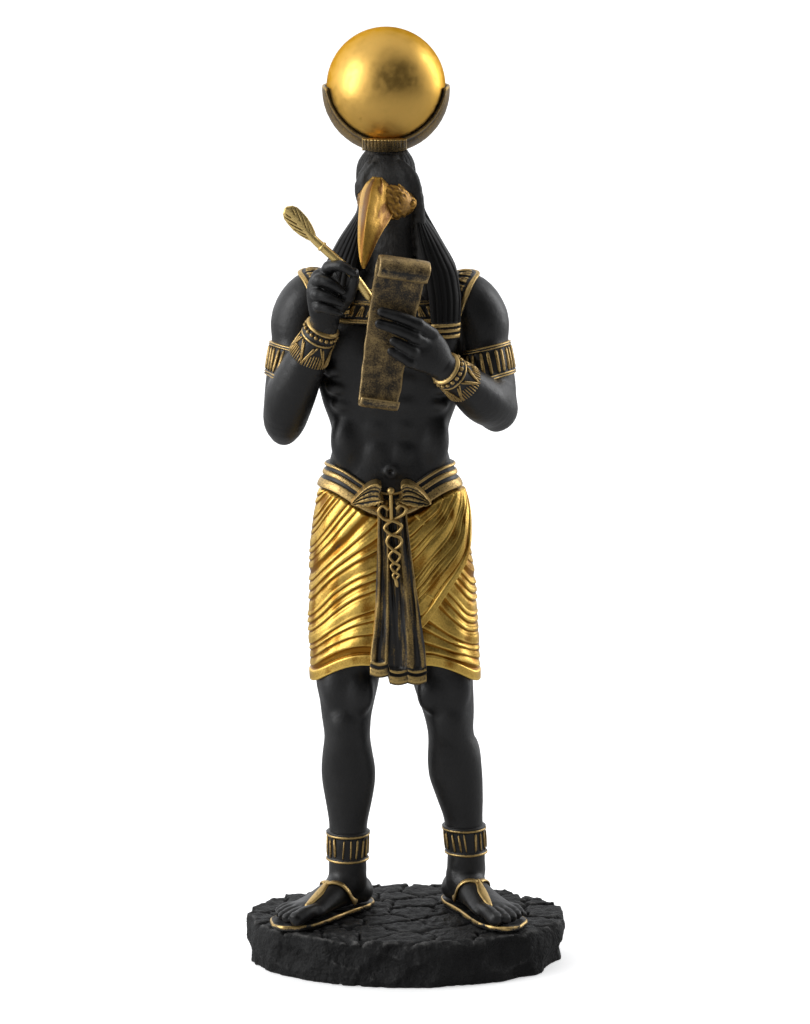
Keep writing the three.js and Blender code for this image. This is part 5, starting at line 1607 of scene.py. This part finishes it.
# The crescent is a bowl cut off by a round mouth, front and back. Each ring runs over its wall.
def makeCrescent():
    half = math.radians(crown["reach"])
    theta = np.linspace(-half, half, 170)[:, None]
    mouth, offset, deep = crown["diskRadius"] + 0.2, crown["drop"] + 3.1, bowlRadius * crown["depth"]
    lip = -offset * np.cos(theta) + np.sqrt(mouth ** 2 - (offset * np.sin(theta)) ** 2)
    reach = deep * np.sqrt(1 - np.minimum(lip / bowlRadius, 0.995) ** 2)
    profile = np.sin(np.linspace(-1, 1, 44) * math.pi / 2)[None, :]
    y = reach * profile
    inside = crown["diskRadius"] + 0.3
    inner = (np.sqrt(np.maximum(inside ** 2 - y ** 2 - (crown["drop"] * np.sin(theta)) ** 2, 1))
             - crown["drop"] * np.cos(theta))
    outer = bowlRadius * np.sqrt(1 - (y / deep) ** 2)
    edging = 0.28 * hump(np.abs(profile), 0.985, 0.05) + -0.22 * hump(np.abs(profile), 0.86, 0.05)
    strokes = 0.05 * np.sin(profile * 60 + theta * 4) * np.sin(theta * 25)
    outer = np.maximum(outer + edging + strokes, inner + 0.35)

    def place(radius, depth):
        x = crown["x"] + radius * np.sin(theta)
        return joined(x, crown["y"] + depth, bowlMiddle - radius * np.cos(theta))

    ring = np.concatenate([place(outer, y), place(inner, y)[:, ::-1]], 1)
    rim = smoothStep((np.abs(profile) - 0.93) / 0.04) + theta * 0
    paint = np.concatenate([0.72 + 0.28 * rim, np.zeros(rim.shape)], 1)
    points, faces = skin(ring)
    return points, faces, np.append(paint.ravel(), [0.3, 0.3])


# The tied wrap lies on the front of the bowl, with upright ribs.
wrap = {"halfWidth": 7.2, "height": 5.6, "thickness": 1.0, "below": 0.5, "aside": -0.5}


def makeWrap():
    u = np.linspace(-1, 1, 120)[None, :]
    v = np.linspace(0, 1, 34)[:, None]
    x = wrap["aside"] + wrap["halfWidth"] * u
    z = wrap["below"] + wrap["height"] * v - bowlRadius
    deep = bowlRadius * crown["depth"]
    ground = deep * np.sqrt(np.maximum(1 - (x ** 2 + z ** 2) / bowlRadius ** 2, 0))
    ribs = 0.35 * np.abs(np.sin((u * 6.5 + 0.06 * np.sin(v * 9 + u * 20)) * math.pi)) ** 0.7
    edge = least(smoothStep((1 - np.abs(u)) / 0.04), smoothStep(v / 0.1), smoothStep((1 - v) / 0.1))
    lift = (wrap["thickness"] + ribs + 0.25 * hump(v, 0.93, 0.06) + 0.25 * hump(v, 0.07, 0.06)) * edge

    def place(rise):
        return joined(crown["x"] + x, crown["y"] - ground - rise, bowlMiddle + z)

    return plate(place(lift), place(-0.8 + lift * 0))


def makePost():
    return tube([(crown["x"], crown["y"], crown["rise"] + z, radius) for z, radius in crown["post"]], 48, 4)


addPiece("gold_disk", [makeDisk()], diskGold, ("sun_disk",), rounds=4)
addPiece("crescent", [makeCrescent()], crescentGold, rounds=6)
addPiece("crescent_wrap", [makeWrap()], staffGold, rounds=4)
addPiece("post", [makePost()], blackResin)
print("crown made")

# Scroll: a sheet that rolls forward at both ends.
scroll = {
    "length": 42.9, "topWidth": 16.6, "bottomWidth": 12.8, "thickness": 1.9, "topRoll": 4.1,
    "bottomRoll": 2.7, "columns": 64, "bow": 1.6,
    "foot": (-9.2, -28.2, 178.3), "lean": 9.7, "turn": 9, "tip": 1.5,
}


def rotated(a, b, angle):
    return a * math.cos(angle) - b * math.sin(angle), a * math.sin(angle) + b * math.cos(angle)


def makeScroll():
    path = []
    half, length = scroll["thickness"] / 2, scroll["length"]
    top, bottom = scroll["topRoll"] - half, scroll["bottomRoll"] - half
    for angle in np.radians(np.linspace(-50, 180, 50)):
        path.append((length + top * math.sin(angle), top + top * math.cos(angle)))
    for share in np.linspace(0, 1, 60)[1:-1]:
        path.append((length * (1 - share), -scroll["bow"] * (1 - (2 * share - 1) ** 2)))
    for angle in np.radians(np.linspace(180, 380, 44)):
        path.append((bottom * math.sin(angle), bottom + bottom * math.cos(angle)))
    path = np.array(path)
    along = unit(np.gradient(path, axis=0))
    share = np.clip(path[:, 0] / length, 0, 1)
    wide = mixTo(scroll["bottomWidth"], scroll["topWidth"], share) / 2
    turn = fullTurn(scroll["columns"])[None, :]
    side, face = power(np.cos(turn), 0.28), power(np.sin(turn), 0.45)
    row = np.arange(len(path))[:, None]
    ends = np.minimum(1, np.minimum(row, row[::-1]) / 3.0) * 0.3 + 0.7
    ragged = 0.12 * wobble(joined(path[:, :1], path[:, 1:2], side * 4), 5, 21)
    deep = half * face * ends + 0.05 * ragged
    a = side * (wide[:, None] + ragged)
    b, c = -(path[:, 1:2] + deep * along[:, :1]), path[:, :1] - deep * along[:, 1:2]
    lean, turned, tip = [math.radians(scroll[key]) for key in ("lean", "turn", "tip")]
    b, c = rotated(b, c, tip)
    c, a = rotated(c, a, lean)
    a, b = rotated(a, b, turned)
    points, faces = skin(joined(a, b, c) + np.array(scroll["foot"]))
    # Gold has worn off the hollow middles of the rolls and the sheet, and stayed on their edges.
    high = share[:, None]
    worn = 0.32 * (np.maximum(high, 1 - high) < 1) - 0.28 * hump(high, 0.4, 0.2) * (0.5 - 0.5 * side)
    worn = worn + 0.12 * hump(high, 0.13, 0.09) + 0.1 * hump(high, 0.85, 0.1) + 0.08
    worn = worn + 0.4 * hump(row, 11, 5) + 0.4 * hump(row, len(path) - 10, 4)
    kept = np.maximum(smoothStep((np.abs(side) - 0.86) / 0.1), 1 - smoothStep((row - 2) / 3))
    kept = np.maximum(kept, smoothStep((row - len(path) + 5) / 3))
    return points, faces, 1 - np.clip(worn, 0, 1) * (1 - 0.85 * kept)


addPiece("scroll_sheet", [makeScroll()], scrollGold, ("scroll",), rounds=14)

# Quill: a shaft from the nib through the fingers, and a blade with barbs either side of its rib.
quill = {
    "nib": (-11.4, -24.8, 210), "grip": (-17.4, -26.2, 218.4), "neck": (-29.6, -27, 229.8),
    "tip": (-38.5, -27.4, 240), "blade": 6.1, "thick": 2.2, "barbs": 5,
    "widths": ([0, 0.1, 0.25, 0.42, 0.6, 0.8, 0.93, 1], [0.34, 0.6, 0.86, 1, 1, 0.92, 0.66, 0.2]),
    "ring": ((0.76, 1.3), (0.77, 1.65), (0.79, 1.7), (0.81, 1.65), (0.82, 1.3)),
}


def makeQuill():
    nib, grip, neck, tip = [np.array(quill[key], float) for key in ("nib", "grip", "neck", "tip")]
    shaft = [(*nib, 0.9), (*mixTo(nib, grip, 0.2), 1.4), (*grip, 1.4), (*mixTo(grip, neck, 0.5), 1.4),
             (*neck, 1.3), (*mixTo(neck, tip, 0.45), 0.85), (*mixTo(neck, tip, 0.93), 0.4)]
    ring = [(*mixTo(grip, neck, share), radius) for share, radius in quill["ring"]]
    share = np.linspace(0, 1, 120)[:, None]
    widths = np.interp(share, *quill["widths"])
    centres = neck + (tip - neck) * share
    along = unit(tip - neck)
    across = unit(np.cross(along, (0, -1, 0)))
    deep = np.cross(across, along)
    turn = fullTurn(96)[None, :]
    side, face = power(np.cos(turn), 0.8), np.sin(turn)
    comb = np.abs(np.sin((share * quill["barbs"] - np.abs(side) * 2.6) * math.pi)) ** 0.5
    outside = smoothStep((np.abs(side) - 0.2) / 0.1) * smoothStep((0.88 - np.abs(side)) / 0.08)
    outside = outside * smoothStep((share - 0.06) / 0.06) * smoothStep((0.92 - share) / 0.08)
    wide = quill["blade"] / 2 * widths
    thick = quill["thick"] / 2 * (1 - 0.35 * share) * (1 - 0.5 * (1 - comb) * outside)
    thick = thick * (1 - 0.35 * side ** 2)
    sweep = np.abs(side) * widths * 0.8 * smoothStep(share * 3) * smoothStep((1 - share) * 3)
    rings = centres[:, None] + across * (side * wide)[..., None] + deep * (face * thick)[..., None]
    points, faces = skin(rings + along * sweep[..., None])
    # Painted shade: paint drops in the recesses between the barbs.
    paint = 1 - 0.95 * smoothStep((0.66 - comb) / 0.25) * outside
    return [tube(shaft, 16, 8), tube(ring, 16, 2), (points, faces, np.append(paint.ravel(), [1, 1]))]


addPiece("quill_pen", makeQuill(), paleGold, ("quill",), rounds=6)
print("scroll and quill made")

# Base of broken rock, paved on top with rough flagstones.
rock = {
    "width": 105.4, "depth": 70, "height": 16, "top": -0.3, "step": 0.68, "stones": 40, "apart": 7.2,
    "chips": 50, "notches": 26, "joint": 1.5, "porous": (-24, 9),
}


def sculptBase():
    wide, deep, tall, top = rock["width"] / 2, rock["depth"] / 2, rock["height"], rock["top"]
    clay = Clay([-wide - 3, -deep - 3, top - tall - 1], [wide + 3, deep + 3, top + 2], rock["step"])
    parts, x, y, z = clay.whole()
    angle = np.arctan2(y / deep, x / wide)
    up = (z - (top - tall)) / tall
    radius = 1 - 0.008 * np.sin(5 * angle + 1) - 0.006 * np.sin(11 * angle + 2) - 0.004 * np.sin(23 * angle)
    k = np.sqrt((x / wide) ** 2 + (y / deep) ** 2)
    scale = np.sqrt(x ** 2 + y ** 2) / np.maximum(k, 1e-6)
    bulge = 1.1 * np.sin(np.clip(up, 0, 1) * math.pi * 0.85) - 0.9
    side = (k - radius) * scale - bulge
    distance = np.maximum(side, np.maximum(z - top, (top - tall) - z)).astype(np.float32)
    clay.join(parts, distance, 0.4)
    chance = np.random.default_rng(12)
    # Chips knocked off the side: nearly flat cuts, each by a large ball that stands mostly outside.
    for turn in fullTurn(rock["chips"]):
        turn = turn + chance.uniform(-0.1, 0.1)
        size = chance.uniform(9, 30)
        out = unit((math.cos(turn) / wide, math.sin(turn) / deep, chance.uniform(-0.01, 0.01)))
        spot = np.array((math.cos(turn) * wide, math.sin(turn) * deep, top - tall * chance.uniform(0, 0.95)))
        clay.ball(spot + out * (size - chance.uniform(0.6, 1.9)), (size, size, size * 0.6), 0.12, cut=True)
    # Notches along the upper edge.
    for turn in chance.uniform(0, 2 * math.pi, rock["notches"]):
        size = chance.uniform(1.6, 3.6)
        out = unit((math.cos(turn) / wide, math.sin(turn) / deep, 0))
        spot = np.array((math.cos(turn) * wide, math.sin(turn) * deep, top))
        clay.ball(spot + out * (size - chance.uniform(1, 2.2)), (size, size, size * 0.7), 0.2, cut=True)
    # Flagstones: each point belongs to its nearest stone, and joints are cut between them.
    stones = []
    while len(stones) < rock["stones"]:
        spot = chance.uniform(-1, 1, 2)
        if np.hypot(*spot) < 1.02:
            spot = spot * (wide, deep)
            if all(np.hypot((spot[0] - s[0]) * 0.7, spot[1] - s[1]) > rock["apart"] for s in stones):
                stones.append(spot)
        if chance.random() < 0.0004:
            break
    stones = np.array(stones)
    gx, gy = x[:, :, 0], y[:, :, 0]
    places = joined(gx, gy, 0)
    jog = 1.1 * wobble(places, 7, 31)
    stacked = joined(*[np.hypot((gx + jog - s[0]) * 0.7, gy + jog * 0.6 - s[1]) for s in stones])
    order = np.sort(stacked, -1)
    owner = np.argmin(stacked, -1)
    gap = order[..., 1] - order[..., 0]
    tilt = chance.uniform(-1, 1, (len(stones), 3))
    centre = stones[owner]
    height = (-0.25 - 0.3 * tilt[owner, 2] ** 2 + 0.02 * tilt[owner, 0] * (gx - centre[..., 0])
              + 0.02 * tilt[owner, 1] * (gy - centre[..., 1]))
    height = height + 0.16 * wobble(places, 4.2, 33) + 0.13 * wobble(places, 2.2, 34)
    height = height - rock["joint"] * (1 - smoothStep(gap)) - 0.25 * (1 - smoothStep(gap / 3.2))
    limit = (top + np.minimum(height, 0))[:, :, None]
    clay.carve(parts, (limit - z).astype(np.float32), 0.25)
    # Roughness on the side, coarsest in a porous patch at the front left.
    full = joined(x, y, z)
    porous = hump(x, *rock["porous"]) * hump(y, -deep, 16) * (z < top - 1.5)
    rough = 0.18 * wobble(full, 4.6, 41) + 0.14 * wobble(full, 2.4, 42)
    pits = np.abs(wobble(full, 2.2, 43)) * porous * 0.4
    sideShare = smoothStep((k - 0.9) / 0.06)
    clay.roughen(parts, (rough * 0.8) * sideShare + pits)
    clay.field[parts] = np.maximum(clay.field[parts], (top - tall - z).astype(np.float32))
    return clay


addPiece("rock_base", [sculptBase().surface()], rockResin, ("base",), rounds=8)
print("base sculpted")

# Camera, floor and soft light, in metres.
view = {"place": (-0.0007, -1.6, 0.498), "lens": 176.3, "pitch": 12.212}
camera = addObject("camera", bpy.data.cameras.new("camera"))
camera.data.sensor_width = 36
camera.data.sensor_fit = "AUTO"
camera.data.lens = view["lens"]
camera.data.clip_end = 50
camera.location = view["place"]
camera.rotation_euler = (math.radians(90 - view["pitch"]), 0, 0)
bpy.context.scene.camera = camera

floor = {"radius": 3, "corners": 64}
floorMesh = bpy.data.meshes.new("floor")
turns = fullTurn(floor["corners"])
corners = [(floor["radius"] * math.cos(t), floor["radius"] * math.sin(t), 0) for t in turns]
floorMesh.from_pydata(corners, [], [list(range(len(corners)))])
floorSheet = addObject("floor", floorMesh)
floorPaint = bpy.data.materials.new("floor")
floorPaint.use_nodes = True
floorNodes = floorPaint.node_tree
floorShader = floorNodes.nodes["Principled BSDF"]
floorLook = {
    "Base Color": (0.93, 0.93, 0.93, 1), "Roughness": 0.9, "Specular IOR Level": 0.1,
    "Emission Color": (1, 1, 1, 1), "Emission Strength": 0.5,
}
for key, value in floorLook.items():
    floorShader.inputs[key].default_value = value
dim = addNode(floorNodes, "ShaderNodeBsdfDiffuse", {"Color": (0.5, 0.5, 0.5, 1)})
seenFloor = addNode(floorNodes, "ShaderNodeLightPath").outputs["Is Camera Ray"]
mixing = {0: seenFloor, 1: dim.outputs[0], 2: floorShader.outputs[0]}
both = addNode(floorNodes, "ShaderNodeMixShader", mixing)
floorNodes.links.new(both.outputs[0], floorNodes.nodes["Material Output"].inputs["Surface"])
floorMesh.materials.append(floorPaint)

lamps = {
    "key": {"place": (-1.7, -0.5, 0.75), "size": (0.9, 1.7), "power": 18},
    "fill": {"place": (1.35, 0.75, 0.7), "size": (0.5, 1.3), "power": 9},
}
for name, lamp in lamps.items():
    light = bpy.data.lights.new(name, "AREA")
    light.shape = "RECTANGLE"
    light.size, light.size_y = lamp["size"]
    light.energy = lamp["power"]
    holder = addObject(name, light)
    holder.location = lamp["place"]
    aim = Vector((0, 0, 0.16)) - Vector(lamp["place"])
    holder.rotation_euler = aim.to_track_quat("-Z", "Y").to_euler()

sky = bpy.data.lights.new("sky", "SUN")
sky.energy, sky.angle = 0.4, math.radians(70)
skyHolder = addObject("sky", sky)
skyHolder.location = (0, 0, 2)

world = bpy.data.worlds.new("studio")
world.use_nodes = True
bpy.context.scene.world = world
tree = world.node_tree
backdrop = tree.nodes["Background"]
way = addNode(tree, "ShaderNodeTexCoord").outputs["Generated"]
split = addNode(tree, "ShaderNodeSeparateXYZ", {0: way})
turned = maths(tree, "ARCTAN2", split.outputs["X"], maths(tree, "MULTIPLY", split.outputs["Y"], -1.0))
leftGlow = spread(tree, turned, -0.15, -1.0, 0.0, 1.25)
rightGlow = spread(tree, turned, 1.0, 1.8, 0.0, 0.85)
dimmer = spread(tree, split.outputs["Z"], 0.5, 1.0, 1.0, 0.35)
glow = maths(tree, "MULTIPLY", maths(tree, "ADD", leftGlow, rightGlow), dimmer)
glow = maths(tree, "ADD", glow, 0.07)
seen = addNode(tree, "ShaderNodeLightPath").outputs["Is Camera Ray"]
strength = mixValue(tree, seen, glow, 1.0)
tree.links.new(strength, backdrop.inputs["Strength"])
backdrop.inputs["Color"].default_value = (0.97, 0.98, 1.0, 1)
bpy.context.scene.view_settings.view_transform = "Standard"

total = sum(triangleCounts.values())
for name, count in sorted(triangleCounts.items(), key=lambda pair: -pair[1]):
    print(f"{name}: {count} triangles")
print(f"all pieces: {total} triangles")
